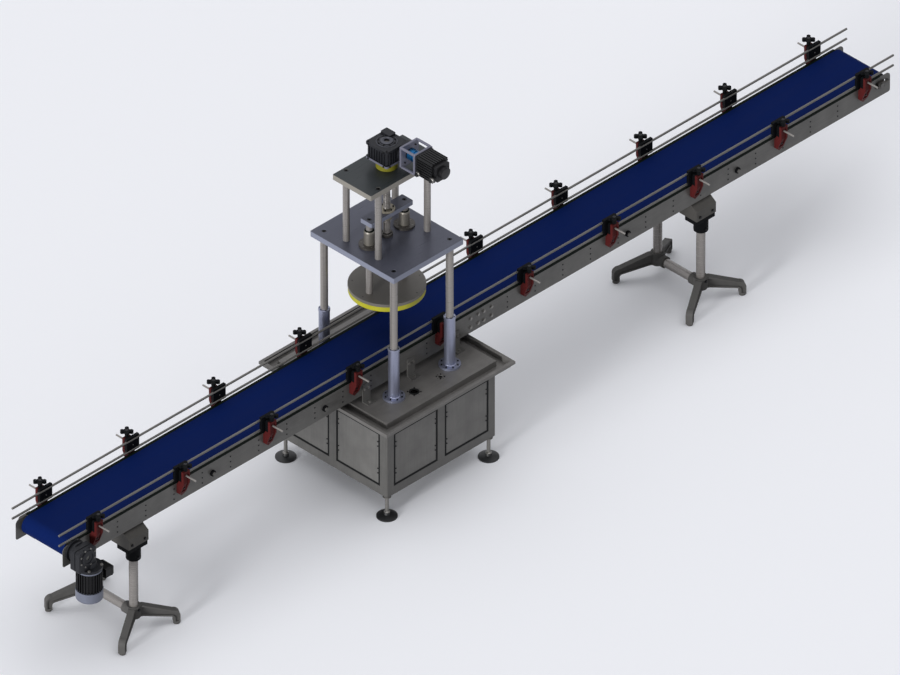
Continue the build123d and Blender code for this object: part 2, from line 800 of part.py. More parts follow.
motor_top = drive_box_bottom - motor_flange_height
stator_top = motor_top - motor_bell_height
fan_top = stator_top - motor_stator_height
with BuildPart() as drive_motor:
    with BuildSketch(Plane.XY.offset(motor_top)):
        with Locations((motor_x, drive_box_y)):
            Circle(motor_bell_radius)
    extrude(amount=-motor_bell_height)
    with BuildSketch(Plane.XY.offset(stator_top)):
        with Locations((motor_x, drive_box_y)):
            Circle(motor_core_radius)
            with PolarLocations((motor_core_radius + motor_fin_radius) / 2 - 1, motor_fin_count):
                Rectangle(motor_fin_radius - motor_core_radius + 2, motor_fin_thickness)
    extrude(amount=-motor_stator_height)
    with BuildSketch(Plane.XY.offset(fan_top)):
        with Locations((motor_x, drive_box_y)):
            Circle(fan_cover_radius)
    extrude(amount=-fan_cover_height)
    fillet(drive_motor.edges().group_by(Axis.Z)[0], fan_cover_round)
    box_start = motor_x + motor_fin_radius + seat_gap
    box_middle = stator_top - terminal_drop - terminal_box_height / 2
    with BuildSketch(Plane.YZ.offset(box_start)):
        with Locations((drive_box_y, box_middle)):
            RectangleRounded(terminal_box_width * 0.6, terminal_box_height * 0.6, 6)
    extrude(amount=terminal_neck)
    with BuildSketch(Plane.YZ.offset(box_start + terminal_neck)):
        with Locations((drive_box_y, box_middle)):
            RectangleRounded(terminal_box_width, terminal_box_height, 8)
    extrude(amount=terminal_box_length - terminal_neck - terminal_lid)
    with BuildSketch(Plane.YZ.offset(box_start + terminal_box_length - terminal_lid)):
        with Locations((drive_box_y, box_middle)):
            RectangleRounded(terminal_box_width + 4, terminal_box_height + 4, 10)
    extrude(amount=terminal_lid, taper=20)
drive_motor.part.label = "drive_motor"
export_step(drive_motor.part, "parts/drive_motor.step")


# Guide rails

clamp_outer = clamp_inner + clamp_depth
clamp_bottom = rail_middle_z - clamp_below_rod
clamp_top = rail_middle_z + clamp_above_rod
tongue_outer = frame_half_width + tongue_thickness
post_outer = clamp_outer + bracket_post
post_foot = frame_top + 7
sweep_run = post_outer - tongue_outer
sweep_rise = post_foot - tongue_tip_z
clamp_middle = (clamp_outer + post_outer - bracket_recess) / 2
clamp_places = [(x, side * clamp_middle) for x in bracket_xs for side in (-1, 1)]

with BuildPart() as guide_brackets:
    for x in bracket_xs:
        with BuildSketch(Plane.YZ.offset(x - bracket_width / 2)):
            with BuildLine():
                Polyline((frame_half_width, tongue_tip_z), (tongue_outer, tongue_tip_z),
                         (post_outer, post_foot), (post_outer, clamp_top), (clamp_outer, clamp_top),
                         (clamp_outer, clamp_bottom), (clamp_inner, clamp_bottom),
                         (clamp_inner, clamp_bottom - ledge_lip),
                         (frame_half_width, clamp_bottom - ledge_root), close=True)
            make_face()
            mirror(about=Plane.YZ)
        extrude(amount=bracket_width)
        with BuildSketch(Plane.YZ.offset(x - bracket_width / 2 + bracket_cheek)):
            with BuildLine():
                Polyline((tongue_outer + 0.35 * sweep_run, tongue_tip_z + 0.35 * sweep_rise),
                         (tongue_outer + 0.35 * sweep_run - bracket_recess,
                          tongue_tip_z + 0.35 * sweep_rise + 2),
                         (post_outer - bracket_recess, post_foot + 1),
                         (post_outer - bracket_recess, clamp_top - 12),
                         (post_outer + 1, clamp_top - 12), (post_outer + 1, post_foot), close=True)
            make_face()
            mirror(about=Plane.YZ)
        extrude(amount=bracket_width - 2 * bracket_cheek, mode=Mode.SUBTRACT)
    with BuildSketch(Plane.XZ):
        for x in bracket_xs:
            with BuildLine():
                Polyline((x - bracket_width / 2, tongue_tip_z + tongue_shoulder),
                         (x - bracket_width / 2, tongue_tip_z), (x, tongue_tip_z), close=True)
            make_face()
            with BuildLine():
                Polyline((x + bracket_width / 2, tongue_tip_z + tongue_shoulder),
                         (x + bracket_width / 2, tongue_tip_z), (x, tongue_tip_z), close=True)
            make_face()
    extrude(amount=2 * post_outer, both=True, mode=Mode.SUBTRACT)
    with BuildSketch(Plane.XY.offset(clamp_top)):
        with Locations(*clamp_places):
            Circle(stud_radius + running_gap)
    extrude(amount=-clamp_above_rod, mode=Mode.SUBTRACT)
    with BuildSketch(Plane.XZ):
        with Locations(*[(x, rail_middle_z) for x in bracket_xs]):
            Circle(cross_rod_radius + running_gap)
    extrude(amount=2 * post_outer, both=True, mode=Mode.SUBTRACT)
guide_brackets.part.label = "guide_brackets"
export_step(guide_brackets.part, "parts/guide_brackets.step")

block_places = [(x, side * (clamp_inner + clamp_depth / 2)) for x in bracket_xs for side in (-1, 1)]
with BuildPart() as clamp_blocks:
    with BuildSketch(Plane.XY.offset(clamp_bottom)):
        with Locations(*block_places):
            Rectangle(clamp_width, clamp_depth)
    extrude(amount=clamp_top - clamp_bottom)
    chamfer(clamp_blocks.edges().filter_by(Axis.Y).group_by(Axis.Z)[-1], 8)
    with BuildSketch(Plane.XZ):
        with Locations(*[(x, rail_middle_z) for x in bracket_xs]):
            Circle(cross_rod_radius + running_gap)
    extrude(amount=2 * clamp_outer, both=True, mode=Mode.SUBTRACT)
clamp_blocks.part.label = "clamp_blocks"
export_step(clamp_blocks.part, "parts/clamp_blocks.step")

knob_places = [(x, y) for x, y in clamp_places if not beside_sleeve(x)]
screw_places = [(x, y) for x, y in clamp_places if beside_sleeve(x)]
with BuildPart() as clamp_knobs:
    with BuildSketch(Plane.XY.offset(clamp_top + knob_stem_height)):
        with Locations(*knob_places):
            with PolarLocations(0, 4, start_angle=45):
                with Locations((knob_radius / 2 - knob_lobe_radius / 2, 0)):
                    Rectangle(knob_radius - knob_lobe_radius, 1.6 * knob_lobe_radius)
                with Locations((knob_radius - knob_lobe_radius, 0)):
                    Circle(knob_lobe_radius)
            Circle(knob_radius * 0.5)
    extrude(amount=knob_height)
    with BuildSketch(Plane.XY.offset(clamp_top)):
        with Locations(*knob_places):
            Circle(knob_stem_radius)
    extrude(amount=knob_stem_height)
    with BuildSketch(Plane.XY.offset(clamp_top)):
        with Locations(*screw_places):
            Circle(clamp_screw_radius)
    extrude(amount=clamp_screw_height)
    with BuildSketch(Plane.XY.offset(clamp_top)):
        with Locations(*clamp_places):
            Circle(stud_radius)
    extrude(amount=-(clamp_above_rod - cross_rod_radius - seat_gap))
clamp_knobs.part.label = "clamp_knobs"
export_step(clamp_knobs.part, "parts/clamp_knobs.step")

holder_bottom = rail_low_z - holder_below
holder_top = rail_low_z + rail_pitch + holder_above
for side_name, side in (("near", -1), ("far", 1)):
    with BuildPart() as rails:
        with BuildSketch(Plane.YZ.offset(-rail_length / 2)):
            with Locations((side * rail_y, rail_low_z), (side * rail_y, rail_low_z + rail_pitch)):
                Circle(rail_radius)
        extrude(amount=rail_length)
        chamfer(rails.edges().filter_by(GeomType.CIRCLE), 1)
    rails.part.label = f"{side_name}_rails"
    export_step(rails.part, f"parts/{side_name}_rails.step")

    with BuildPart() as holders:
        for x in bracket_xs:
            with BuildSketch(Plane.YZ.offset(x - holder_width / 2)):
                with Locations((side * (holder_inner + holder_outer) / 2,
                                (holder_bottom + holder_top) / 2)):
                    Rectangle(holder_outer - holder_inner, holder_top - holder_bottom)
                with Locations((side * rail_y, rail_low_z), (side * rail_y, rail_low_z + rail_pitch)):
                    Circle(rail_radius + running_gap, mode=Mode.SUBTRACT)
            extrude(amount=holder_width)
        with BuildSketch(Plane.XZ.offset(-side * holder_outer)):
            with Locations(*[(x, rail_middle_z) for x in bracket_xs]):
                Circle(cross_rod_radius + running_gap)
        extrude(amount=side * cross_rod_seat, mode=Mode.SUBTRACT)
    holders.part.label = f"{side_name}_rail_holders"
    export_step(holders.part, f"parts/{side_name}_rail_holders.step")

    with BuildPart() as rods:
        for x in bracket_xs:
            rod_end = post_outer - guide_play if beside_sleeve(x) else cross_rod_end
            rod_start = holder_outer - cross_rod_seat
            with BuildSketch(Plane.XZ.offset(-side * rod_start)):
                with Locations((x, rail_middle_z)):
                    Circle(cross_rod_radius)
            extrude(amount=-side * (rod_end - rod_start))
        chamfer(rods.edges().filter_by(GeomType.CIRCLE), 0.8)
    rods.part.label = f"{side_name}_cross_rods"
    export_step(rods.part, f"parts/{side_name}_cross_rods.step")


# Stands

socket_middle_y = stand_y - 7
head_outer = socket_middle_y + socket_depth / 2
head_inner = head_outer - head_depth
head_bottom = frame_bottom - head_height
slope_top_y = head_outer - head_slope_out
slope_top_z = frame_bottom - head_neck_height
slope_bottom_z = slope_top_z - head_slope_down


def head_profile(sheet):
    """The sloped outline of a stand head in the YZ plane, drawn a sheet's thickness inside."""
    Polyline((head_inner + sheet, head_bottom - sheet), (head_outer - sheet, head_bottom - sheet),
             (head_outer - sheet, slope_bottom_z - sheet * 0.5),
             (slope_top_y - sheet, slope_top_z - sheet * 0.5),
             (slope_top_y - sheet, frame_bottom - sheet),
             (head_inner + sheet, frame_bottom - sheet), close=True)


with BuildPart() as stand_heads:
    for x in stand_xs:
        with BuildSketch(Plane.YZ.offset(x - head_length / 2)):
            with BuildLine():
                head_profile(0)
            make_face()
            mirror(about=Plane.YZ)
        extrude(amount=head_length)
        with BuildSketch(Plane.YZ.offset(x - head_length / 2 + head_sheet)):
            with BuildLine():
                head_profile(head_sheet)
            make_face()
            mirror(about=Plane.YZ)
        extrude(amount=head_length - 2 * head_sheet, mode=Mode.SUBTRACT)
stand_heads.part.label = "stand_heads"
export_step(stand_heads.part, "parts/stand_heads.step")

stand_places = [(x, side * stand_y) for x in stand_xs for side in (-1, 1)]
socket_places = [(x, side * socket_middle_y) for x in stand_xs for side in (-1, 1)]
socket_bottom = head_bottom - socket_plate
boss_bottom = socket_bottom - socket_boss_height
with BuildPart() as stand_sockets:
    with BuildSketch(Plane.XY.offset(head_bottom)):
        with Locations(*socket_places):
            RectangleRounded(head_length - 2 * socket_inset, socket_depth - 2 * socket_inset, 6)
    extrude(amount=-socket_plate)
    with BuildSketch(Plane.XY.offset(socket_bottom)):
        with Locations(*stand_places):
            Circle(socket_boss_radius)
    extrude(amount=-socket_boss_height)
    chamfer(stand_sockets.edges().group_by(Axis.Z)[0], 4)
    with BuildSketch(Plane.XY.offset(head_bottom)):
        with Locations(*stand_places):
            Circle(stand_tube_radius + running_gap)
    extrude(amount=-(socket_plate + socket_boss_height), mode=Mode.SUBTRACT)
stand_sockets.part.label = "stand_sockets"
export_step(stand_sockets.part, "parts/stand_sockets.step")

stand_tube_top = boss_bottom + socket_grip
hub_seat = stand_hub_bottom + stand_hub_floor


def leg_outline():
    """The side view of one leg: distance from the hub's axis against height.

    It falls gently from the hub to a rounded shoulder, then drops to the foot."""
    toe = leg_reach + foot_radius
    heel = leg_reach - foot_radius
    top = stand_hub_top - 4
    under = stand_hub_bottom
    shoulder_x = toe - leg_shoulder
    shoulder_z = top - leg_fall
    arch_z = under - leg_arch
    bend = leg_shoulder * (1 - sqrt(0.5))
    Polyline((leg_root, under), (0, under), (0, top), (leg_root, top), (shoulder_x, shoulder_z))
    ThreePointArc((shoulder_x, shoulder_z), (toe - bend, shoulder_z - bend),
                  (toe, shoulder_z - leg_shoulder))
    Polyline((toe, shoulder_z - leg_shoulder), (toe, foot_height), (heel, foot_height),
             (heel, arch_z - 16))
    ThreePointArc((heel, arch_z - 16), (heel - 5, arch_z - 5), (heel - 16, arch_z))
    Line((heel - 16, arch_z), (leg_root, under))


for pair_name, x in zip(("left", "right"), stand_xs):
    with BuildPart() as stand_legs:
        for side in (-1, 1):
            for heading in (leg_angle, 180 - leg_angle):
                turn = side * heading
                along = Vector(1, 0, 0).rotate(Axis.Z, turn)
                across = Vector(0, 1, 0).rotate(Axis.Z, turn)
                leg_plane = Plane((x, side * stand_y, 0), x_dir=along, z_dir=-across)
                with BuildSketch(leg_plane):
                    with BuildLine():
                        leg_outline()
                    make_face()
                extrude(amount=leg_width / 2, both=True)
                for face in (-1, 1):
                    with BuildSketch(leg_plane.offset(face * leg_width / 2)):
                        with BuildLine():
                            leg_outline()
                        make_face()
                        offset(amount=-leg_rim, mode=Mode.REPLACE)
                    extrude(amount=-face * leg_groove_depth, mode=Mode.SUBTRACT)
                with BuildSketch(Plane((x, side * stand_y, 0))):
                    with Locations((leg_reach * cos(turn * pi / 180), leg_reach * sin(turn * pi / 180))):
                        Circle(foot_radius)
                extrude(amount=foot_height)
            with BuildSketch(Plane.XY.offset(stand_hub_bottom)):
                with Locations((x, side * stand_y)):
                    Circle(stand_hub_radius)
            extrude(amount=stand_hub_top - stand_hub_bottom)
            with BuildSketch(Plane.XZ.offset(-side * (stand_y - stand_hub_radius - cross_boss_length))):
                with Locations((x, cross_tube_z)):
                    Circle(cross_boss_radius)
            extrude(amount=-side * (cross_boss_length + stand_hub_radius))
            with BuildSketch(Plane.XY.offset(stand_hub_top)):
                with Locations((x, side * stand_y)):
                    Circle(stand_tube_radius + running_gap)
            extrude(amount=-(stand_hub_top - hub_seat), mode=Mode.SUBTRACT)
            with BuildSketch(Plane.XZ.offset(-side * (stand_y - stand_hub_radius - cross_boss_length))):
                with Locations((x, cross_tube_z)):
                    Circle(stand_tube_radius + running_gap)
            extrude(amount=-side * cross_boss_length, mode=Mode.SUBTRACT)
    stand_legs.part.label = f"{pair_name}_stand_legs"
    export_step(stand_legs.part, f"parts/{pair_name}_stand_legs.step")

    with BuildPart() as stand_tubes:
        with BuildSketch(Plane.XY.offset(hub_seat)):
            with Locations((x, -stand_y), (x, stand_y)):
                Circle(stand_tube_radius)
                Circle(stand_tube_radius - stand_tube_wall, mode=Mode.SUBTRACT)
        extrude(amount=stand_tube_top - hub_seat)
    stand_tubes.part.label = f"{pair_name}_stand_tubes"
    export_step(stand_tubes.part, f"parts/{pair_name}_stand_tubes.step")

    with BuildPart() as cross_tube:
        half = stand_y - stand_hub_radius
        with BuildSketch(Plane.XZ.offset(-half)):
            with Locations((x, cross_tube_z)):
                Circle(stand_tube_radius)
                Circle(stand_tube_radius - stand_tube_wall, mode=Mode.SUBTRACT)
        extrude(amount=2 * half)
    cross_tube.part.label = f"{pair_name}_cross_tube"
    export_step(cross_tube.part, f"parts/{pair_name}_cross_tube.step")


# Levelling feet: a domed pad that turns on the ball end of a threaded spindle

foot_places = [(press_x + i * post_pitch / 2, j * post_pitch / 2) for j in (-1, 1) for i in (-1, 1)]
pad_top = pad_edge + pad_dome + pad_neck_height
for number, (x, y) in enumerate(foot_places, 1):
    with BuildPart() as levelling_foot:
        with BuildSketch(Plane((x, y, 0), x_dir=(1, 0, 0), z_dir=(0, -1, 0))):
            with BuildLine():
                Line((0, 0), (pad_radius, 0))
                Line((pad_radius, 0), (pad_radius, pad_edge))
                ThreePointArc((pad_radius, pad_edge),
                              ((pad_radius + pad_neck_radius) / 2 + 3, pad_edge + pad_dome * 0.6),
                              (pad_neck_radius, pad_edge + pad_dome))
                Line((pad_neck_radius, pad_edge + pad_dome), (pad_neck_radius - 3, pad_top))
                Line((pad_neck_radius - 3, pad_top), (spindle_radius, pad_top))
                Line((spindle_radius, pad_top), (spindle_radius, cabinet_bottom + spindle_grip))
                Line((spindle_radius, cabinet_bottom + spindle_grip), (0, cabinet_bottom + spindle_grip))
                Line((0, cabinet_bottom + spindle_grip), (0, 0))
            make_face()
        revolve(axis=Axis((x, y, 0), (0, 0, 1)))
    levelling_foot.part.label = f"levelling_foot_{number}"
    export_step(levelling_foot.part, f"parts/levelling_foot_{number}.step")


# Press head

with BuildPart() as head_columns:
    with BuildSketch(Plane.XY.offset(column_bottom)):
        with Locations((press_x, 0)):
            with GridLocations(column_pitch_x, column_pitch_y, 2, 2):
                Circle(column_radius)
    extrude(amount=head_plate_bottom - column_bottom)
    chamfer(head_columns.edges().group_by(Axis.Z)[0], 2)
head_columns.part.label = "head_columns"
export_step(head_columns.part, "parts/head_columns.step")

with BuildPart() as head_plate:
    with BuildSketch(Plane.XY.offset(head_plate_bottom)):
        with Locations((press_x, 0)):
            Rectangle(head_plate_x, head_plate_y)
    extrude(amount=head_plate_thickness)
    chamfer(head_plate.edges().filter_by(Axis.Z), plate_chamfer)
    with BuildSketch(Plane.XY.offset(head_plate_bottom)):
        with Locations((press_x, 0)):
            with GridLocations(column_pitch_x, column_pitch_y, 2, 2):
                Circle(screw_hole_radius)
            with Locations((-guide_rod_x, 0), (guide_rod_x, 0)):
                Circle(bush_radius + seat_gap)
            Circle(screw_bearing_spigot + seat_gap)
    extrude(amount=head_plate_thickness, mode=Mode.SUBTRACT)
    with BuildSketch(Plane.XY.offset(head_plate_top)):
        with Locations((press_x, 0)):
            with GridLocations(column_pitch_x, column_pitch_y, 2, 2):
                Circle(screw_head_radius)
    extrude(amount=-screw_head_depth, mode=Mode.SUBTRACT)
head_plate.part.label = "head_plate"
export_step(head_plate.part, "parts/head_plate.step")

with BuildPart() as upper_columns:
    with BuildSketch(Plane.XY.offset(head_plate_top)):
        with Locations((press_x, 0)):
            with GridLocations(upper_column_pitch_x, upper_column_pitch_y, 2, 2):
                Circle(upper_column_radius)
    extrude(amount=upper_column_length)
upper_columns.part.label = "upper_columns"
export_step(upper_columns.part, "parts/upper_columns.step")

with BuildPart() as gearbox_plate:
    with BuildSketch(Plane.XY.offset(gearbox_plate_bottom)):
        with Locations((press_x, 0)):
            Rectangle(gearbox_plate_x, gearbox_plate_y)
    extrude(amount=gearbox_plate_thickness)
    chamfer(gearbox_plate.edges().filter_by(Axis.Z), plate_chamfer)
    with BuildSketch(Plane.XY.offset(gearbox_plate_bottom)):
        with Locations((press_x, 0)):
            with GridLocations(upper_column_pitch_x, upper_column_pitch_y, 2, 2):
                Circle(screw_hole_radius)
            Circle(ring_bore)
    extrude(amount=gearbox_plate_thickness, mode=Mode.SUBTRACT)
    with BuildSketch(Plane.XY.offset(gearbox_plate_top)):
        with Locations((press_x, 0)):
            with GridLocations(upper_column_pitch_x, upper_column_pitch_y, 2, 2):
                Circle(screw_head_radius)
    extrude(amount=-screw_head_depth, mode=Mode.SUBTRACT)
gearbox_plate.part.label = "gearbox_plate"
export_step(gearbox_plate.part, "parts/gearbox_plate.step")

with BuildPart() as guide_bushes:
    for x in (press_x - guide_rod_x, press_x + guide_rod_x):
        with BuildSketch(Plane((x, 0, 0), x_dir=(1, 0, 0), z_dir=(0, -1, 0))):
            with BuildLine():
                Polyline((guide_rod_radius + running_gap, head_plate_bottom),
                         (bush_radius, head_plate_bottom), (bush_radius, head_plate_top),
                         (bush_flange_radius, head_plate_top),
                         (bush_flange_radius, head_plate_top + bush_flange_height),
                         (bush_radius, head_plate_top + bush_flange_height),
                         (bush_radius, head_plate_top + bush_height - 8),
                         (bush_radius - 3, head_plate_top + bush_height),
                         (guide_rod_radius + running_gap, head_plate_top + bush_height), close=True)
            make_face()
        revolve(axis=Axis((x, 0, 0), (0, 0, 1)))
    with BuildSketch(Plane.XY.offset(head_plate_top + bush_flange_height)):
        with Locations((press_x - guide_rod_x, 0), (press_x + guide_rod_x, 0)):
            with PolarLocations(bush_screw_circle, bush_screws):
                Circle(bush_screw_radius)
    extrude(amount=-bush_flange_height / 2, mode=Mode.SUBTRACT)
guide_bushes.part.label = "guide_bushes"
export_step(guide_bushes.part, "parts/guide_bushes.step")

with BuildPart() as screw_bearing:
    with BuildSketch(Plane((press_x, 0, 0), x_dir=(1, 0, 0), z_dir=(0, -1, 0))):
        with BuildLine():
            Polyline((0, head_plate_top - screw_bearing_depth),
                     (screw_bearing_spigot, head_plate_top - screw_bearing_depth),
                     (screw_bearing_spigot, head_plate_top), (screw_bearing_radius, head_plate_top),
                     (screw_bearing_radius, head_plate_top + screw_bearing_height - 3),
                     (screw_bearing_radius - 3, head_plate_top + screw_bearing_height),
                     (journal_radius + running_gap, head_plate_top + screw_bearing_height),
                     (journal_radius + running_gap,
                      head_plate_top + screw_bearing_height - journal_length),
                     (0, head_plate_top + screw_bearing_height - journal_length), close=True)
        make_face()
    revolve(axis=Axis((press_x, 0, 0), (0, 0, 1)))
screw_bearing.part.label = "screw_bearing"
export_step(screw_bearing.part, "parts/screw_bearing.step")

screw_start = head_plate_top + screw_bearing_height + seat_gap
screw_end = gearbox_plate_bottom - 2
with BuildPart() as lead_screw:
    with BuildSketch(Plane((press_x, 0, 0), x_dir=(1, 0, 0), z_dir=(0, -1, 0))):
        with BuildLine():
            Polyline((0, screw_start - journal_length), (journal_radius, screw_start - journal_length),
                     (journal_radius, screw_start), (screw_radius - 2, screw_start),
                     (screw_radius, screw_start + 2), (screw_radius, screw_end - 2),
                     (screw_radius - 2, screw_end), (drive_journal_radius, screw_end),
                     (drive_journal_radius, box_top - 6), (0, box_top - 6), close=True)
        make_face()
    revolve(axis=Axis((press_x, 0, 0), (0, 0, 1)))
lead_screw.part.label = "lead_screw"
export_step(lead_screw.part, "parts/lead_screw.step")


# Ram

with BuildPart() as crosshead:
    with BuildSketch(Plane.XY.offset(crosshead_bottom)) as crosshead_section:
        with Locations((press_x, 0)):
            Rectangle(crosshead_x, crosshead_y)
        chamfer(crosshead_section.vertices(), crosshead_corner)
        with Locations((press_x, 0)):
            Circle(nut_radius + running_gap, mode=Mode.SUBTRACT)
            with Locations((-guide_rod_x, 0), (guide_rod_x, 0)):
                Circle(screw_hole_radius, mode=Mode.SUBTRACT)
    extrude(amount=crosshead_thickness)
    with BuildSketch(Plane.XY.offset(crosshead_top)):
        with Locations((press_x - guide_rod_x, 0), (press_x + guide_rod_x, 0)):
            Circle(screw_head_radius)
    extrude(amount=-screw_head_depth, mode=Mode.SUBTRACT)
crosshead.part.label = "crosshead"
export_step(crosshead.part, "parts/crosshead.step")

with BuildPart() as screw_nut:
    with BuildSketch(Plane((press_x, 0, 0), x_dir=(1, 0, 0), z_dir=(0, -1, 0))):
        with BuildLine():
            Polyline((screw_radius + running_gap, crosshead_bottom - nut_below),
                     (nut_radius - 3, crosshead_bottom - nut_below),
                     (nut_radius, crosshead_bottom - nut_below + 3),
                     (nut_radius, crosshead_top), (nut_flange_radius, crosshead_top),
                     (nut_flange_radius, crosshead_top + nut_flange_height - 2),
                     (nut_flange_radius - 2, crosshead_top + nut_flange_height),
                     (screw_radius + running_gap, crosshead_top + nut_flange_height), close=True)
        make_face()
    revolve(axis=Axis((press_x, 0, 0), (0, 0, 1)))
screw_nut.part.label = "screw_nut"
export_step(screw_nut.part, "parts/screw_nut.step")

with BuildPart() as ram_guide_rods:
    with BuildSketch(Plane.XY.offset(press_plate_top)):
        with Locations((press_x - guide_rod_x, 0), (press_x + guide_rod_x, 0)):
            Circle(guide_rod_radius)
    extrude(amount=crosshead_bottom - press_plate_top)
ram_guide_rods.part.label = "ram_guide_rods"
export_step(ram_guide_rods.part, "parts/ram_guide_rods.step")

with BuildPart() as press_plate:
    with BuildSketch(Plane.XY.offset(press_plate_bottom)):
        with Locations((press_x, 0)):
            Circle(press_radius)
    extrude(amount=press_plate_thickness)
    chamfer(press_plate.edges().group_by(Axis.Z)[-1], 1.5)
    with BuildSketch(Plane.XY.offset(press_plate_bottom)):
        with Locations((press_x, 0)):
            with PolarLocations(plate_screw_circle, plate_screw_count, start_angle=plate_screw_start):
                Circle(plate_screw_radius)
    extrude(amount=press_plate_thickness, mode=Mode.SUBTRACT)
press_plate.part.label = "press_plate"
export_step(press_plate.part, "parts/press_plate.step")

with BuildPart() as press_pad:
    with BuildSketch(Plane.XY.offset(press_plate_bottom)):
        with Locations((press_x, 0)):
            Circle(press_radius - pad_inset)
    extrude(amount=-pad_thickness)
    fillet(press_pad.edges().group_by(Axis.Z)[0], pad_round)
press_pad.part.label = "press_pad"
export_step(press_pad.part, "parts/press_pad.step")


# Worm gearbox, lantern, coupling and servo motor

with BuildPart() as gearbox_ring:
    with BuildSketch(Plane.XY.offset(gearbox_plate_top)):
        with Locations((press_x, 0)):
            Circle(ring_radius)
            Circle(ring_bore, mode=Mode.SUBTRACT)
    extrude(amount=ring_height)
gearbox_ring.part.label = "gearbox_ring"
export_step(gearbox_ring.part, "parts/gearbox_ring.step")

worm_centre = press_x + worm_x
with BuildPart() as press_gearbox:
    with BuildSketch(Plane.XY.offset(box_bottom)):
        with Locations((press_x, 0)):
            RectangleRounded(box_size, box_size, box_corner)
    extrude(amount=box_flange)
    with BuildSketch(Plane.XY.offset(box_bottom + box_flange)):
        with Locations((press_x, 0)):
            RectangleRounded(box_size - 2 * box_waist, box_size - 2 * box_waist, box_corner)
    extrude(amount=box_height - 2 * box_flange)
    with BuildSketch(Plane.XY.offset(box_top - box_flange)):
        with Locations((press_x, 0)):
            RectangleRounded(box_size, box_size, box_corner)
    extrude(amount=box_flange)
    with BuildSketch(Plane.XZ.offset(lantern_near)):
        with Locations((worm_centre, worm_z)):
            Circle(worm_case_radius)
    extrude(amount=-(lantern_near + worm_case_back))
    with BuildSketch(Plane.XZ.offset(lantern_near)):
        with Locations((worm_centre, worm_z)):
            Circle(input_flange_radius)
    extrude(amount=-input_flange_length)
    with BuildSketch(Plane.XZ.offset(lantern_near - input_flange_length)):
        with Locations((worm_centre, worm_z)):
            Circle(input_cone_radius)
    extrude(amount=-input_cone_length, taper=8)
    with BuildSketch(Plane.XY.offset(box_top)):
        with Locations((press_x, 0)):
            Circle(box_ring_radius)
    extrude(amount=box_ring_height)
    with BuildSketch(Plane.XY.offset(box_top)):
        with Locations((press_x + box_cover_x, box_cover_y)):
            RectangleRounded(box_cover_length, box_cover_width, box_waist)
    extrude(amount=box_cover_height)
    with BuildSketch(Plane.XY.offset(box_bottom)):
        with Locations((press_x, 0)):
            Circle(drive_journal_radius + running_gap)
    extrude(amount=box_height + box_cover_height, mode=Mode.SUBTRACT)
    with BuildSketch(Plane.XZ.offset(lantern_near)):
        with Locations((worm_centre, worm_z)):
            Circle(input_shaft_radius + running_gap)
    extrude(amount=-input_shaft_overlap, mode=Mode.SUBTRACT)
press_gearbox.part.label = "press_gearbox"
export_step(press_gearbox.part, "parts/press_gearbox.step")

bar_pitch = lantern_size - lantern_bar
with BuildPart() as motor_lantern:
    for front in (lantern_near, lantern_far - lantern_plate):
        with BuildSketch(Plane.XZ.offset(front)):
            with Locations((worm_centre, worm_z)):
                RectangleRounded(lantern_size, lantern_size, 6)
                Circle(lantern_bore, mode=Mode.SUBTRACT)
        extrude(amount=lantern_plate)
    with BuildSketch(Plane.XZ.offset(lantern_near + lantern_plate)):
        with Locations((worm_centre, worm_z)):
            with GridLocations(bar_pitch, bar_pitch, 2, 2):
                RectangleRounded(lantern_bar, lantern_bar, 3)
    extrude(amount=lantern_far - lantern_near - 2 * lantern_plate)
motor_lantern.part.label = "motor_lantern"
export_step(motor_lantern.part, "parts/motor_lantern.step")

coupling_start = (lantern_near + lantern_far - coupling_length) / 2
shaft_start = lantern_near - input_shaft_overlap + 2
shaft_end = lantern_far + input_shaft_overlap - 2
with BuildPart() as motor_coupling:
    with BuildSketch(Plane.XZ.offset(coupling_start)):
        with Locations((worm_centre, worm_z)):
            Circle(coupling_radius)
    extrude(amount=coupling_length)
    chamfer(motor_coupling.edges().filter_by(GeomType.CIRCLE), 2)
    with BuildSketch(Plane.XZ.offset(coupling_start + coupling_length / 2 - coupling_slot / 2)):
        with Locations((worm_centre, worm_z)):
            Circle(coupling_radius + 1)
            Circle(coupling_radius - 4, mode=Mode.SUBTRACT)
    extrude(amount=coupling_slot, mode=Mode.SUBTRACT)
    with BuildSketch(Plane.XZ.offset(shaft_start)):
        with Locations((worm_centre, worm_z)):
            Circle(input_shaft_radius)
    extrude(amount=shaft_end - shaft_start)
motor_coupling.part.label = "motor_coupling"
export_step(motor_coupling.part, "parts/motor_coupling.step")

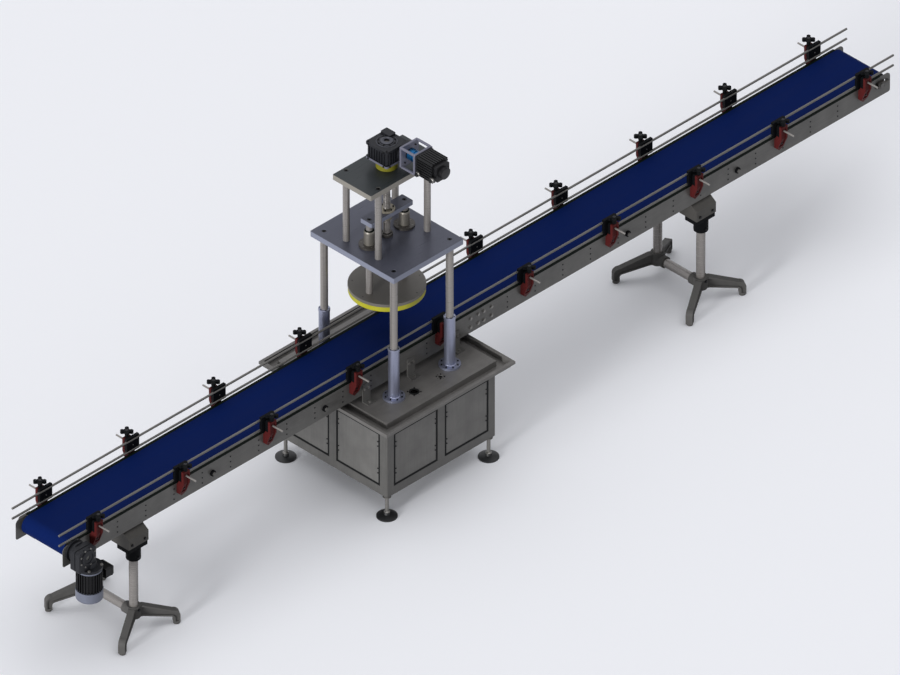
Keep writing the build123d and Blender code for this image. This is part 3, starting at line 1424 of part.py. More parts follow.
servo_body_start = lantern_far + servo_flange
servo_body_end = servo_body_start + servo_length
servo_plug_place = (-(servo_body_start + 1.4 * socket_radius), worm_z - 3 * socket_radius)
encoder_plug_place = (-(servo_body_end + servo_cap_length / 2), worm_z - 2 * socket_radius)
with BuildPart() as servo_motor:
    with BuildSketch(Plane.XZ.offset(lantern_far)):
        with Locations((worm_centre, worm_z)):
            RectangleRounded(servo_size, servo_size, 6)
    extrude(amount=servo_flange)
    with BuildSketch(Plane.XZ.offset(servo_body_start)):
        with Locations((worm_centre, worm_z)):
            RectangleRounded(servo_size, servo_size, servo_corner)
            fin_pitch = (servo_size - 2 * servo_corner) / (servo_fin_count - 1)
            for turn in (0, 90, 180, 270):
                with PolarLocations(0, 1, start_angle=turn):
                    with Locations((servo_size / 2 - servo_fin_depth / 2, 0)):
                        with GridLocations(1, fin_pitch, 1, servo_fin_count):
                            Rectangle(servo_fin_depth, servo_fin_gap, mode=Mode.SUBTRACT)
    extrude(amount=servo_length)
    with BuildSketch(Plane.XZ.offset(servo_body_end)):
        with Locations((worm_centre, worm_z)):
            RectangleRounded(servo_cap_size, servo_cap_size, servo_corner)
    extrude(amount=servo_cap_length)
    with BuildSketch(Plane.XZ.offset(servo_body_end + servo_cap_length)):
        with Locations((worm_centre, worm_z)):
            Circle(encoder_radius)
    extrude(amount=encoder_length)
    for socket_root, place in ((servo_size / 2 - servo_fin_depth, servo_plug_place),
                               (servo_cap_size / 2, encoder_plug_place)):
        with BuildSketch(Plane.YZ.offset(worm_centre - socket_root)):
            with Locations(place):
                Circle(socket_radius)
        extrude(amount=-(servo_size / 2 + socket_height - socket_root))
    with BuildSketch(Plane.XZ.offset(lantern_far)):
        with Locations((worm_centre, worm_z)):
            Circle(input_shaft_radius + running_gap)
    extrude(amount=input_shaft_overlap, mode=Mode.SUBTRACT)
servo_motor.part.label = "servo_motor"
export_step(servo_motor.part, "parts/servo_motor.step")
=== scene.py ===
"""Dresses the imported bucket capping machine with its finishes, screws and small fittings."""

from itertools import product
from math import cos, pi, radians, sin

import bmesh
import bpy
from bpy.props import FloatProperty, FloatVectorProperty, IntProperty, PointerProperty
from bpy.types import Operator, Panel, PropertyGroup
from mathutils import Matrix, Vector


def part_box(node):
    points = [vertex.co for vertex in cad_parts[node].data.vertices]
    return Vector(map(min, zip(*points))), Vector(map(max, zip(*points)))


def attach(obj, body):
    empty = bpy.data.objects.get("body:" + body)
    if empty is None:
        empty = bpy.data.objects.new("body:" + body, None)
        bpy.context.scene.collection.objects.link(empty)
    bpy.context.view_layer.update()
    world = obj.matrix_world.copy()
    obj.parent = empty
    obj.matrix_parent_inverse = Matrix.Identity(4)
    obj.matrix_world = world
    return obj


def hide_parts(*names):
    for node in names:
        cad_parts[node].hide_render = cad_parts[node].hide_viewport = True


bl_info = {
    "name": "Bucket capping machine",
    "version": (1, 0, 0),
    "blender": (4, 5, 0),
    "location": "View3D > Sidebar > Capping machine",
    "description": "Finishes, screws and small fittings of a bucket capping machine",
    "category": "Add Mesh",
}

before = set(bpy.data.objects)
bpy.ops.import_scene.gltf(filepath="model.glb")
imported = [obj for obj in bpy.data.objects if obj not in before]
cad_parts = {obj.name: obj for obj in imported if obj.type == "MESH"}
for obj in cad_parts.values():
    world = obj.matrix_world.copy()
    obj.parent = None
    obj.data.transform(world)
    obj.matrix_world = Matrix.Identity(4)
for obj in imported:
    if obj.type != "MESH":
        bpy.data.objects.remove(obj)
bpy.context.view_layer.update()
MM = 0.001
X, Y, UP = Vector((1, 0, 0)), Vector((0, 1, 0)), Vector((0, 0, 1))
SIDES = (-1, 1)


def rgb(code):
    """Turns an sRGB hex code into linear red, green and blue."""
    parts = [int(code[i:i + 2], 16) / 255 for i in (0, 2, 4)]
    return tuple(c / 12.92 if c <= 0.04045 else ((c + 0.055) / 1.055) ** 2.4 for c in parts)


def size(name, about, millimetres):
    """A length that a user can change, kept in metres."""
    return FloatProperty(name=name, description=about, default=millimetres * MM, min=0, unit="LENGTH")


def colour(name, about, code):
    """A colour that a user can change, given as an sRGB hex code."""
    return FloatVectorProperty(name=name, description=about, default=rgb(code), subtype="COLOR",
                               min=0, max=1, size=3)


class CapperSizes(PropertyGroup):
    """Sizes of the fasteners and small fittings."""

    panel_screw: size("Panel screw", "Head radius of the screws that hold the panels", 4)
    panel_screw_pitch: size("Panel screw pitch", "Height between the two screws of a pair", 28)
    frame_screw: size("Frame screw", "Head radius of the small screws in the conveyor's side", 4.2)
    frame_screw_pitch: size("Frame screw pitch", "Height between the screws of a group", 32)
    plate_screw: size("Plate screw", "Head radius of the large screws in the head's plates", 12.2)
    flange_screw: size("Flange screw", "Head radius of the screws in flanges and collars", 4.5)
    case_screw: size("Case screw", "Head radius of the screws in the gear cases", 5)
    bolt_width: size("Bolt width", "Radius over the corners of a bolt's hexagon", 9)
    thread_depth: size("Thread depth", "Depth of the lead screw's thread", 1.5)
    screw_lead: size("Screw lead", "Travel of the nut in one turn of the lead screw", 20)
    thread_starts: IntProperty(name="Thread starts", description="Threads side by side on the screw",
                               default=4, min=1, max=4)


class CapperColours(PropertyGroup):
    """Colours of the finishes."""

    steel: colour("Steel", "Brushed stainless steel of the frames", "5E5D5B")
    sheet: colour("Sheet", "Stainless sheet of the tray and table", "6A6866")
    panel: colour("Panel", "Stainless sheet of the cabinet's panels", "696866")
    shaft: colour("Shaft", "Ground and chromed shafts", "86827F")
    sleeve: colour("Sleeve", "Bluish sleeves round the columns", "8C90A4")
    lower_plate: colour("Lower plate", "Ground plate that carries the guide bushes", "50525E")
    upper_plate: colour("Upper plate", "Ground plate under the gearbox", "34383A")
    disc: colour("Press disc", "Round plate over the press pad", "6A6762")
    rail: colour("Rail", "Ground guide rails", "64625F")
    yellow: colour("Yellow", "Press pad", "A29E1C")
    belt: colour("Belt", "Top cover of the conveyor belt", "0A1B4C")
    strip: colour("Strip", "Plastic strips beside the belt", "0A120D")
    red: colour("Bracket", "Moulded guide brackets", "4C1C1C")
    black: colour("Black", "Black mouldings", "0B0C0E")
    rubber: colour("Rubber", "Seals round the panels", "0B0C0D")
    cast: colour("Cast case", "Cast gear cases", "1E1F23")
    motor: colour("Motor", "End bell and fan cover of the conveyor's motor", "686C7A")
    servo: colour("Servo", "Servo motor body", "0E0E10")
    coupling: colour("Coupling", "Anodised coupling", "195C8C")
    stand: colour("Stand", "Painted stand heads", "454340")
    leg: colour("Leg", "Moulded stand legs", "545352")
    flange: colour("Flange", "Phosphated bush and bearing flanges", "4A4744")
    nut: colour("Nut", "Lead screw nut", "8C8678")
    oxide: colour("Oxide", "Blackened screws", "1B1B1D")
    zinc: colour("Zinc", "Zinc-plated screws", "7C7A77")
    # Painted light: the plates' upright edges take these lighter colours, standing in for the light on
    # their sides.
    edge: colour("Plate edge", "Edges of the lower plate and crosshead", "7C8090")
    upper_edge_painted_light: colour("Upper edge", "Bare milled edges of the upper plate", "86827B")
    # Painted shade: the gearbox ring is the pad's yellow darkened, standing in for the shade under the
    # gearbox.
    ring: colour("Ring", "Gearbox ring", "6E6A1C")
    turned: colour("Turned", "Turned faces of the gear cases", "46474E")
    cap: colour("Encoder cap", "Round cap behind the servo motor", "2A2A2B")
    bush: colour("Bush", "Ground bodies of the guide bushes", "77736C")
    lantern: colour("Lantern", "Motor lantern and gearbox foot", "6A6A78")
    floor: colour("Floor", "Pale studio floor", "F4F5FA")


def add(tree, kind, inputs={}, **settings):
    """Adds one node, gives it its settings, and fills or links its inputs. A list holds several links."""
    node = tree.nodes.new(kind)
    for name, value in settings.items():
        setattr(node, name, value)
    for name, value in inputs.items():
        links = value if isinstance(value, list) else [value]
        if isinstance(links[0], bpy.types.NodeSocket):
            for link in links:
                tree.links.new(link, node.inputs[name])
        else:
            node.inputs[name].default_value = value
    return node


finishes = {}


def surface(name, base, metallic, roughness, gloss=0.5):
    """A new finish's node tree and shader, with the numbers that are the same all over it."""
    material = bpy.data.materials.new(name)
    material.use_nodes = True
    tree = material.node_tree
    tree.nodes.clear()
    shader = add(tree, "ShaderNodeBsdfPrincipled", {
        "Base Color": (*base, 1), "Metallic": metallic, "Roughness": roughness,
        "Specular IOR Level": gloss})
    add(tree, "ShaderNodeOutputMaterial", {"Surface": shader.outputs["BSDF"]})
    material.diffuse_color = (*base, 1)
    finishes[name] = material
    return tree, shader


def grain(tree, spacing, stretch=(1, 1, 1), detail=3.0):
    """Noise over the object's own coordinates, with its spots a given size apart in metres."""
    place = add(tree, "ShaderNodeTexCoord")
    scaled = add(tree, "ShaderNodeMapping", {
        "Vector": place.outputs["Object"], "Scale": tuple(1 / s for s in stretch)})
    return add(tree, "ShaderNodeTexNoise", {
        "Vector": scaled.outputs["Vector"], "Scale": 1 / spacing, "Detail": detail,
        "Roughness": 0.55}).outputs["Fac"]


def tint(tree, shader, base, value, dark, light):
    """Colours the shader from darker to lighter than its base as a value goes from 0 to 1."""
    shade = add(tree, "ShaderNodeMix", {
        "Factor": value,
        "A": (*(c * dark for c in base), 1),
        "B": (*(min(c * light, 1) for c in base), 1)}, data_type="RGBA")
    tree.links.new(shade.outputs["Result"], shader.inputs["Base Color"])


def vary(tree, shader, value, low, high):
    """Spreads the shader's roughness between two limits as a noise goes from 0.3 to 0.7."""
    rough = add(tree, "ShaderNodeMapRange", {
        "Value": value, "From Min": 0.3, "From Max": 0.7, "To Min": low, "To Max": high})
    tree.links.new(rough.outputs["Result"], shader.inputs["Roughness"])


def relief(tree, shader, height, depth, strength):
    """Raises the surface by a height pattern, with its depth in metres."""
    bump = add(tree, "ShaderNodeBump", {
        "Strength": strength, "Distance": depth, "Height": height})
    tree.links.new(bump.outputs["Normal"], shader.inputs["Normal"])


# Where a finish's real grain is too fine for the render to show, its pattern is drawn coarser.

def brushed_stainless(name, base, along, roughness=0.36):
    """Stainless steel brushed with a belt: long fine lines one way, and soft cloudy patches of sheen."""
    tree, shader = surface(name, base, 0.3, roughness, 0.3)
    # The lines of a 240 grit belt are drawn 3 mm apart, and 60 times as long.
    lines = grain(tree, 3 * MM, [60.0 if axis == along else 1.0 for axis in "XYZ"], 4.0)
    clouds = grain(tree, 90 * MM)
    both = add(tree, "ShaderNodeMath", {0: lines, 1: clouds}, operation="MULTIPLY")
    spread = add(tree, "ShaderNodeMapRange", {
        "Value": both.outputs["Value"], "From Min": 0.12, "From Max": 0.4})
    tint(tree, shader, base, spread.outputs["Result"], 0.84, 1.14)
    vary(tree, shader, lines, roughness - 0.06, roughness + 0.1)
    relief(tree, shader, lines, 0.12 * MM, 0.35)


def ground_steel(name, base, roughness=0.32):
    """Plate ground on a surface grinder: faint crossing passes and a clouded satin shine."""
    tree, shader = surface(name, base, 0.35, roughness, 0.3)
    passes = grain(tree, 4 * MM, (40, 1, 1))
    tint(tree, shader, base, grain(tree, 120 * MM), 0.88, 1.12)
    vary(tree, shader, passes, roughness - 0.05, roughness + 0.09)
    relief(tree, shader, passes, 0.08 * MM, 0.3)


def hard_chrome(name, base, roughness=0.3):
    """Hard-chromed ground shaft: a satin skin with rings too faint to feel."""
    tree, shader = surface(name, base, 0.4, roughness)
    rings = grain(tree, 1.5 * MM, (60, 60, 1), 2.0)
    tint(tree, shader, base, rings, 0.97, 1.03)
    vary(tree, shader, rings, roughness - 0.04, roughness + 0.05)


def cast_enamel(name, base, roughness=0.5, metallic=0.0):
    """Sand-cast metal under one coat of enamel: the sand's grain shows through the paint."""
    tree, shader = surface(name, base, metallic, roughness, 0.25)
    sand = grain(tree, 5 * MM, detail=5.0)
    tint(tree, shader, base, grain(tree, 60 * MM), 0.86, 1.16)
    vary(tree, shader, sand, roughness - 0.08, roughness + 0.12)
    relief(tree, shader, sand, 0.5 * MM, 0.5)


def moulded_nylon(name, base, roughness=0.45):
    """Glass-filled nylon from a spark-eroded mould: even fine grain and a dull sheen."""
    tree, shader = surface(name, base, 0.0, roughness, 0.05)
    pits = grain(tree, 2.5 * MM, detail=4.0)
    tint(tree, shader, base, grain(tree, 35 * MM), 0.88, 1.14)
    vary(tree, shader, pits, roughness - 0.06, roughness + 0.1)
    relief(tree, shader, pits, 0.15 * MM, 0.4)


def soft_rubber(name, base, roughness=0.68):
    """Extruded rubber: matt, with a faint bloom that greys it in patches."""
    tree, shader = surface(name, base, 0.0, roughness, 0.15)
    tint(tree, shader, base, grain(tree, 30 * MM, detail=4.0), 0.85, 1.3)
    relief(tree, shader, grain(tree, 1.5 * MM), 0.1 * MM, 0.3)


def polyurethane(name, base, roughness=0.42):
    """Cast polyurethane: smooth and slightly waxy, with dull rubbed patches."""
    tree, shader = surface(name, base, 0.0, roughness)
    shader.inputs["Subsurface Weight"].default_value = 0.05
    shader.inputs["Subsurface Scale"].default_value = 2 * MM
    rubbed = grain(tree, 45 * MM, detail=4.0)
    tint(tree, shader, base, rubbed, 0.9, 1.08)
    vary(tree, shader, rubbed, roughness - 0.08, roughness + 0.14)


def coated_belt(name, base, roughness=0.6):
    """Two-ply belt with a smooth coated top: the cloth under it prints a weave, and pails polish lanes."""
    tree, shader = surface(name, base, 0.0, roughness, 0.02)
    place = add(tree, "ShaderNodeTexCoord")
    # The weave is drawn at 4 mm, twice the real thread spacing. A wave repeats every 0.314 / scale.
    threads = [add(tree, "ShaderNodeTexWave", {
        "Vector": place.outputs["Object"], "Scale": 0.314 / (4 * MM)}, bands_direction=axis)
        for axis in "XY"]
    weave = add(tree, "ShaderNodeMath", {
        0: threads[0].outputs["Fac"], 1: threads[1].outputs["Fac"]}, operation="MULTIPLY")
    lanes = grain(tree, 30 * MM, (50, 1, 50))
    tint(tree, shader, base, lanes, 0.9, 1.12)
    vary(tree, shader, lanes, roughness - 0.07, roughness + 0.1)
    relief(tree, shader, weave.outputs["Value"], 0.12 * MM, 0.25)


def anodised(name, base, roughness=0.3):
    """Anodised aluminium: a dyed satin skin over turned metal."""
    tree, shader = surface(name, base, 0.8, roughness)
    turned = grain(tree, 3 * MM, (30, 30, 1), 2.0)
    tint(tree, shader, base, turned, 0.9, 1.1)
    relief(tree, shader, turned, 0.05 * MM, 0.25)


def plated(name, base, roughness=0.34):
    """Plated or blackened screw steel: small spots of handling wear."""
    tree, shader = surface(name, base, 0.7, roughness)
    tint(tree, shader, base, grain(tree, 6 * MM, detail=4.0), 0.85, 1.2)


def between(tree, low, high):
    """1 where the object's own height is between two limits, and 0 elsewhere."""
    place = add(tree, "ShaderNodeTexCoord")
    parts = add(tree, "ShaderNodeSeparateXYZ", {"Vector": place.outputs["Object"]})
    above, beyond = (add(tree, "ShaderNodeMath", {
        0: parts.outputs["Z"], 1: limit}, operation="GREATER_THAN") for limit in (low, high))
    return add(tree, "ShaderNodeMath", {
        0: above.outputs["Value"], 1: beyond.outputs["Value"]}, operation="SUBTRACT").outputs["Value"]


def upright(tree):
    """1 on upright faces, and 0 on faces that lie flat."""
    place = add(tree, "ShaderNodeTexCoord")
    parts = add(tree, "ShaderNodeSeparateXYZ", {"Vector": place.outputs["Normal"]})
    height = add(tree, "ShaderNodeMath", {0: parts.outputs["Z"]}, operation="ABSOLUTE")
    return add(tree, "ShaderNodeMath", {
        0: height.outputs["Value"], 1: 0.5}, operation="LESS_THAN").outputs["Value"]


def second_tone_and_painted_light(material, mask, base, metallic, roughness):
    """Gives a material a second colour, metallic and roughness where a mask is 1: a second finish on the
    feet, bushes, motor and gearbox, and painted light on the plates' edges.
    """
    tree = material.node_tree
    shader = tree.nodes["Principled BSDF"]
    first = shader.inputs["Base Color"].links[0].from_socket
    both = add(tree, "ShaderNodeMix", {
        "Factor": mask, "A": first, "B": (*base, 1)}, data_type="RGBA")
    tree.links.new(both.outputs["Result"], shader.inputs["Base Color"])
    for name, value in (("Metallic", metallic), ("Roughness", roughness)):
        socket = shader.inputs[name]
        blend = add(tree, "ShaderNodeMix", {"Factor": mask, "A": socket.default_value, "B": value})
        if socket.links:
            tree.links.new(socket.links[0].from_socket, blend.inputs["A"])
        tree.links.new(blend.outputs["Result"], socket)


# Each finish: its name, the modelled pieces that it is on, what makes it, its colour, and any other
# numbers of its maker.
FINISHES = (
    ("conveyor_steel", "side_frames splice_plates", brushed_stainless, "steel", "X"),
    ("upright_steel", "cabinet_frame frame_brackets cross_members drive_drum tail_drum "
     "return_roller_1 return_roller_2 return_roller_3 return_roller_4", brushed_stainless, "steel", "Z"),
    ("sheet_steel", "drip_tray table_top slider_beds", brushed_stainless, "sheet", "X", 0.4),
    ("panel_steel", "cabinet_panels", brushed_stainless, "panel", "Z", 0.42),
    ("shaft_chrome", "near_cross_rods far_cross_rods head_columns upper_columns lead_screw "
     "ram_guide_rods", hard_chrome, "shaft"),
    ("stand_chrome", "left_stand_tubes right_stand_tubes left_cross_tube right_cross_tube",
     hard_chrome, "shaft", 0.24),
    ("sleeve_metal", "column_sleeves", anodised, "sleeve", 0.36),
    ("lower_plate", "head_plate crosshead", ground_steel, "lower_plate"),
    ("upper_plate", "gearbox_plate", ground_steel, "upper_plate"),
    ("disc_steel", "press_plate", ground_steel, "disc", 0.4),
    ("yellow_pad", "press_pad", polyurethane, "yellow"),
    # The ring's darker yellow is painted shade.
    ("yellow_ring", "gearbox_ring", cast_enamel, "ring"),
    ("belt_cover", "conveyor_belt", coated_belt, "belt"),
    ("strip_plastic", "wear_strips", moulded_nylon, "strip", 0.5),
    ("red_nylon", "guide_brackets", moulded_nylon, "red"),
    ("black_nylon", "clamp_blocks clamp_knobs stand_sockets near_rail_holders far_rail_holders",
     moulded_nylon, "black", 0.55),
    ("seal_rubber", "panel_seals", soft_rubber, "rubber"),
    ("cast_case", "drive_gearbox", cast_enamel, "cast", 0.42, 0.3),
    ("motor_enamel", "drive_motor", cast_enamel, "motor", 0.38, 0.2),
    ("servo_black", "servo_motor", cast_enamel, "servo", 0.45),
    ("coupling_blue", "motor_coupling", anodised, "coupling"),
    ("stand_enamel", "stand_heads", cast_enamel, "stand", 0.44, 0.3),
    ("leg_nylon", "left_stand_legs right_stand_legs", moulded_nylon, "leg", 0.5),
    ("flange_steel", "drum_bearings screw_bearing", plated, "flange", 0.42),
    ("nut_steel", "screw_nut", plated, "nut", 0.36),
    ("black_oxide", "", plated, "oxide", 0.36),
    ("zinc_plate", "", plated, "zinc", 0.3),
    ("turned_case", "", ground_steel, "turned", 0.45),
    ("encoder_cover", "", cast_enamel, "cap", 0.45),
    ("foot_steel", "levelling_foot_1 levelling_foot_2 levelling_foot_3 levelling_foot_4",
     plated, "zinc"),
    ("bush_steel", "guide_bushes", plated, "bush", 0.5),
    ("lantern_enamel", "motor_lantern", cast_enamel, "lantern", 0.42, 0.2),
    ("press_case", "press_gearbox", cast_enamel, "cast", 0.42, 0.3),
    ("rail_steel", "near_rails far_rails", brushed_stainless, "rail", "X", 0.34),
)
FLANGE = 12 * MM       # thickness of the flanges of sleeves and bushes
FOOT_PAD = 27 * MM     # height of a levelling foot's black pad
FAN_COVER = 61 * MM    # height of the conveyor motor's fan cover
MOTOR_BELL = 10 * MM   # height of its end bell, under the gearbox
CASE_FOOT = 12 * MM    # height of the pale band round the foot of the press's gearbox


def make_finishes(colours):
    """Every finish, by the name that the pieces ask for."""
    for name, _, maker, tone, *numbers in FINISHES:
        maker(name, getattr(colours, tone), *numbers)
    # Painted light: the plates' upright edges are lighter than their tops, standing in for light on their
    # sides. The feet, bushes, motor and gearbox have two tones.
    for name, edge in (("lower_plate", colours.edge), ("upper_plate", colours.upper_edge_painted_light)):
        second_tone_and_painted_light(finishes[name], upright(finishes[name].node_tree), edge, 0.3, 0.45)
    below = -1
    for name, low, high, *coat in (
            ("foot_steel", below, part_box("levelling_foot_1")[0].z + FOOT_PAD, colours.black, 0.0, 0.5),
            ("bush_steel", below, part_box("head_plate")[1].z + FLANGE, colours.flange, 0.6, 0.42),
            ("motor_enamel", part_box("drive_motor")[0].z + FAN_COVER,
             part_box("drive_gearbox")[0].z - MOTOR_BELL, colours.servo, 0.2, 0.42),
            ("press_case", below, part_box("gearbox_ring")[1].z + CASE_FOOT, colours.lantern, 0.2, 0.42)):
        second_tone_and_painted_light(finishes[name], between(finishes[name].node_tree, low, high), *coat)


def put(name, data):
    """Puts an object in the scene."""
    item = bpy.data.objects.new(name, data)
    bpy.context.scene.collection.objects.link(item)
    return item


def keep(name, mesh, finish, body):
    """Makes a mesh a piece of the machine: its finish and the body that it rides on."""
    piece = put(name, mesh)
    mesh.materials.clear()
    mesh.materials.append(finishes[finish])
    mesh.name = name
    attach(piece, body)
    return piece


def new_tree(name, *numbers):
    """A geometry tree with named number inputs and one material input."""
    tree = bpy.data.node_groups.new(name, "GeometryNodeTree")
    sockets = tree.interface
    sockets.new_socket("Geometry", in_out="INPUT", socket_type="NodeSocketGeometry")
    for number in numbers:
        sockets.new_socket(number, in_out="INPUT", socket_type="NodeSocketFloat")
    sockets.new_socket("Finish", in_out="INPUT", socket_type="NodeSocketMaterial")
    sockets.new_socket("Geometry", in_out="OUTPUT", socket_type="NodeSocketGeometry")
    return tree, add(tree, "NodeGroupInput").outputs


def end_tree(tree, given, geometry):
    """Ends a tree: instances made real, then the finish."""
    real = add(tree, "GeometryNodeRealizeInstances", {"Geometry": geometry})
    painted = add(tree, "GeometryNodeSetMaterial", {
        "Geometry": real.outputs["Geometry"], "Material": given["Finish"]})
    add(tree, "NodeGroupOutput", {"Geometry": painted.outputs["Geometry"]})
    return tree


def raised(tree, shape, height):
    """A shape lifted by a height."""
    way = add(tree, "ShaderNodeCombineXYZ", {"Z": height})
    return add(tree, "GeometryNodeTransform", {
        "Geometry": shape, "Translation": way.outputs["Vector"]}).outputs["Geometry"]


def on_aimed_points(tree, given, parts):
    """Sets the parts on each point of the input, with their Z along its aim, and ends the tree."""
    whole = add(tree, "GeometryNodeJoinGeometry", {"Geometry": parts})
    aim = add(tree, "GeometryNodeInputNamedAttribute", {"Name": "aim"}, data_type="FLOAT_VECTOR")
    turn = add(tree, "FunctionNodeAlignRotationToVector", {
        "Vector": aim.outputs["Attribute"]}, axis="Z")
    placed = add(tree, "GeometryNodeInstanceOnPoints", {
        "Points": given["Geometry"], "Instance": whole.outputs["Geometry"],
        "Rotation": turn.outputs["Rotation"]})
    return end_tree(tree, given, placed.outputs["Instances"])


def socket_screw_tree():
    """Cap screws with a hexagon socket, one on each aimed point."""
    tree, given = new_tree("socket_screws", "Head Radius", "Head Height", "Socket Radius", "Socket Floor")
    rim = add(tree, "GeometryNodeCurvePrimitiveCircle", {
        "Resolution": 24, "Radius": given["Head Radius"]})
    hexagon = add(tree, "GeometryNodeCurvePrimitiveCircle", {
        "Resolution": 6, "Radius": given["Socket Radius"]})
    both = add(tree, "GeometryNodeJoinGeometry", {
        "Geometry": [rim.outputs["Curve"], hexagon.outputs["Curve"]]})
    face = add(tree, "GeometryNodeFillCurve", {"Curve": both.outputs["Geometry"]})
    wall = add(tree, "GeometryNodeExtrudeMesh", {
        "Mesh": face.outputs["Mesh"], "Offset Scale": given["Head Height"], "Individual": False})
    under = add(tree, "GeometryNodeFlipFaces", {"Mesh": face.outputs["Mesh"]})
    floor = add(tree, "GeometryNodeMeshCircle", {
        "Vertices": 6, "Radius": given["Socket Radius"]}, fill_type="NGON")
    return on_aimed_points(tree, given, [
        wall.outputs["Mesh"], under.outputs["Mesh"],
        raised(tree, floor.outputs["Mesh"], given["Socket Floor"])])


def stacked_tree(name, head_sides):
    """A round foot with a head on it, such as a washer and a bolt's head, one on each aimed point."""
    tree, given = new_tree(name, "Foot Radius", "Foot Height", "Head Radius", "Top Radius", "Head Height")
    foot = add(tree, "GeometryNodeMeshCone", {
        "Vertices": 20, "Radius Bottom": given["Foot Radius"], "Radius Top": given["Foot Radius"],
        "Depth": given["Foot Height"]})
    head = add(tree, "GeometryNodeMeshCone", {
        "Vertices": head_sides, "Radius Bottom": given["Head Radius"], "Radius Top": given["Top Radius"],
        "Depth": given["Head Height"]})
    return on_aimed_points(tree, given, [
        foot.outputs["Mesh"], raised(tree, head.outputs["Mesh"], given["Foot Height"])])


def thread_tree():
    """Helical ridges side by side, from the start to the end of a lead screw."""
    tree, given = new_tree("thread", "Radius", "Depth", "Root Width", "Crest Width", "Length", "Turns",
                           "Starts")
    helix = add(tree, "GeometryNodeCurveSpiral", {
        "Resolution": 28, "Rotations": given["Turns"], "Start Radius": given["Radius"],
        "End Radius": given["Radius"], "Height": given["Length"]})
    ridge = add(tree, "GeometryNodeCurvePrimitiveQuadrilateral", {
        "Height": given["Depth"], "Bottom Width": given["Root Width"],
        "Top Width": given["Crest Width"], "Offset": 0.0}, mode="TRAPEZOID")
    swept = add(tree, "GeometryNodeCurveToMesh", {
        "Curve": helix.outputs["Curve"], "Profile Curve": ridge.outputs["Curve"], "Fill Caps": True})
    spots = add(tree, "GeometryNodePoints", {"Count": given["Starts"]})
    number = add(tree, "GeometryNodeInputIndex")
    step = add(tree, "ShaderNodeMath", {0: 2 * pi, 1: given["Starts"]}, operation="DIVIDE")
    angle = add(tree, "ShaderNodeMath", {
        0: number.outputs["Index"], 1: step.outputs["Value"]}, operation="MULTIPLY")
    turn = add(tree, "ShaderNodeCombineXYZ", {"Z": angle.outputs["Value"]})
    placed = add(tree, "GeometryNodeInstanceOnPoints", {
        "Points": spots.outputs["Points"], "Instance": swept.outputs["Mesh"],
        "Rotation": turn.outputs["Vector"]})
    both = add(tree, "GeometryNodeJoinGeometry", {
        "Geometry": [placed.outputs["Instances"], given["Geometry"]]})
    return end_tree(tree, given, both.outputs["Geometry"])


trees = {}


def grown(name, source, kind, values, finish, body):
    """Runs a geometry tree on a mesh and keeps the result as a plain piece."""
    maker = put(name + "_maker", source)
    modifier = maker.modifiers.new("Geometry", "NODES")
    modifier.node_group = trees[kind]
    values["Finish"] = finishes[finish]
    for item in trees[kind].interface.items_tree:
        if item.name in values:
            modifier[item.identifier] = values[item.name]
    graph = bpy.context.evaluated_depsgraph_get()
    mesh = bpy.data.meshes.new_from_object(maker.evaluated_get(graph))
    bpy.data.objects.remove(maker)
    bpy.data.meshes.remove(source)
    return keep(name, mesh, finish, body)


def aimed(points):
    """A mesh of loose points, each with the way that its screw points."""
    mesh = bpy.data.meshes.new("points")
    mesh.from_pydata([spot for spot, aim in points], [], [])
    aims = mesh.attributes.new("aim", "FLOAT_VECTOR", "POINT")
    for item, (spot, aim) in zip(aims.data, points):
        item.vector = aim
    return mesh


def socket_screws(name, points, radius, height, body, finish="black_oxide"):
    """Cap screws on aimed points."""
    grown(name, aimed(points), "screw", {
        "Head Radius": radius, "Head Height": height, "Socket Radius": radius * 0.52,
        "Socket Floor": height * 0.4}, finish, body)


def hex_bolts(name, points, radius, height, body, finish="zinc_plate"):
    """Hexagon bolts with washers on aimed points. The washer is a quarter of the height."""
    grown(name, aimed(points), "bolt", {
        "Foot Radius": radius * 1.25, "Foot Height": height * 0.25, "Head Radius": radius,
        "Top Radius": radius, "Head Height": height * 0.75}, finish, body)


def buttons(name, points, radius, height, body, finish="black_oxide"):
    """Low domed buttons, such as rivets, plugs and caps, on aimed points."""
    grown(name, aimed(points), "button", {
        "Foot Radius": radius, "Foot Height": height * 0.6, "Head Radius": radius * 0.92,
        "Top Radius": radius * 0.6, "Head Height": height * 0.4}, finish, body)


def at(x, y, z, aim=UP):
    """A point, and the way that its screw points."""
    return Vector((x, y, z)), aim


def ring(centre, radius, count, aim=UP, start=0.0):
    """Aimed points on a circle round an axis."""
    side = X if abs(aim.z) > 0.9 else aim.orthogonal().normalized()
    return [(Vector(centre) + Matrix.Rotation(start + 2 * pi * i / count, 3, aim) @ side * radius, aim)
            for i in range(count)]


def four_corners(node, inset):
    """The upright axes of the four round pieces at a node's corners."""
    low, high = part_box(node)
    return list(product((low.x + inset, high.x - inset), (low.y + inset, high.y - inset)))


def middle(node):
    """The middle of a node's box."""
    low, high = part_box(node)
    return (low + high) / 2


press = middle("press_plate")
ROD_OFFSET = 125 * MM    # from the press's axis to a guide rod's
SCREW_SINK = 13 * MM     # how deep the large screws are let into the plates
# The conveyor's brackets on the table, along X.
TABLE_BRACKETS = [press.x + step * 320 * MM for step in (-1, 0, 1)]


def bracket_places():
    """The places of the ten guide brackets along the conveyor."""
    low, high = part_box("clamp_blocks")
    half_block = 22 * MM
    first, last = low.x + half_block, high.x - half_block
    return [first + (last - first) * i / 9 for i in range(10)]


def smooth_mesh(name, shape, limit):
    """Makes a shape a smooth mesh, with creases where faces meet at more than a limit in degrees."""
    mesh = bpy.data.meshes.new(name)
    shape.normal_update()
    for face in shape.faces:
        face.smooth = True
    for edge in shape.edges:
        edge.smooth = len(edge.link_faces) == 2 and edge.calc_face_angle(0) < radians(limit)
    shape.to_mesh(mesh)
    shape.free()
    return mesh


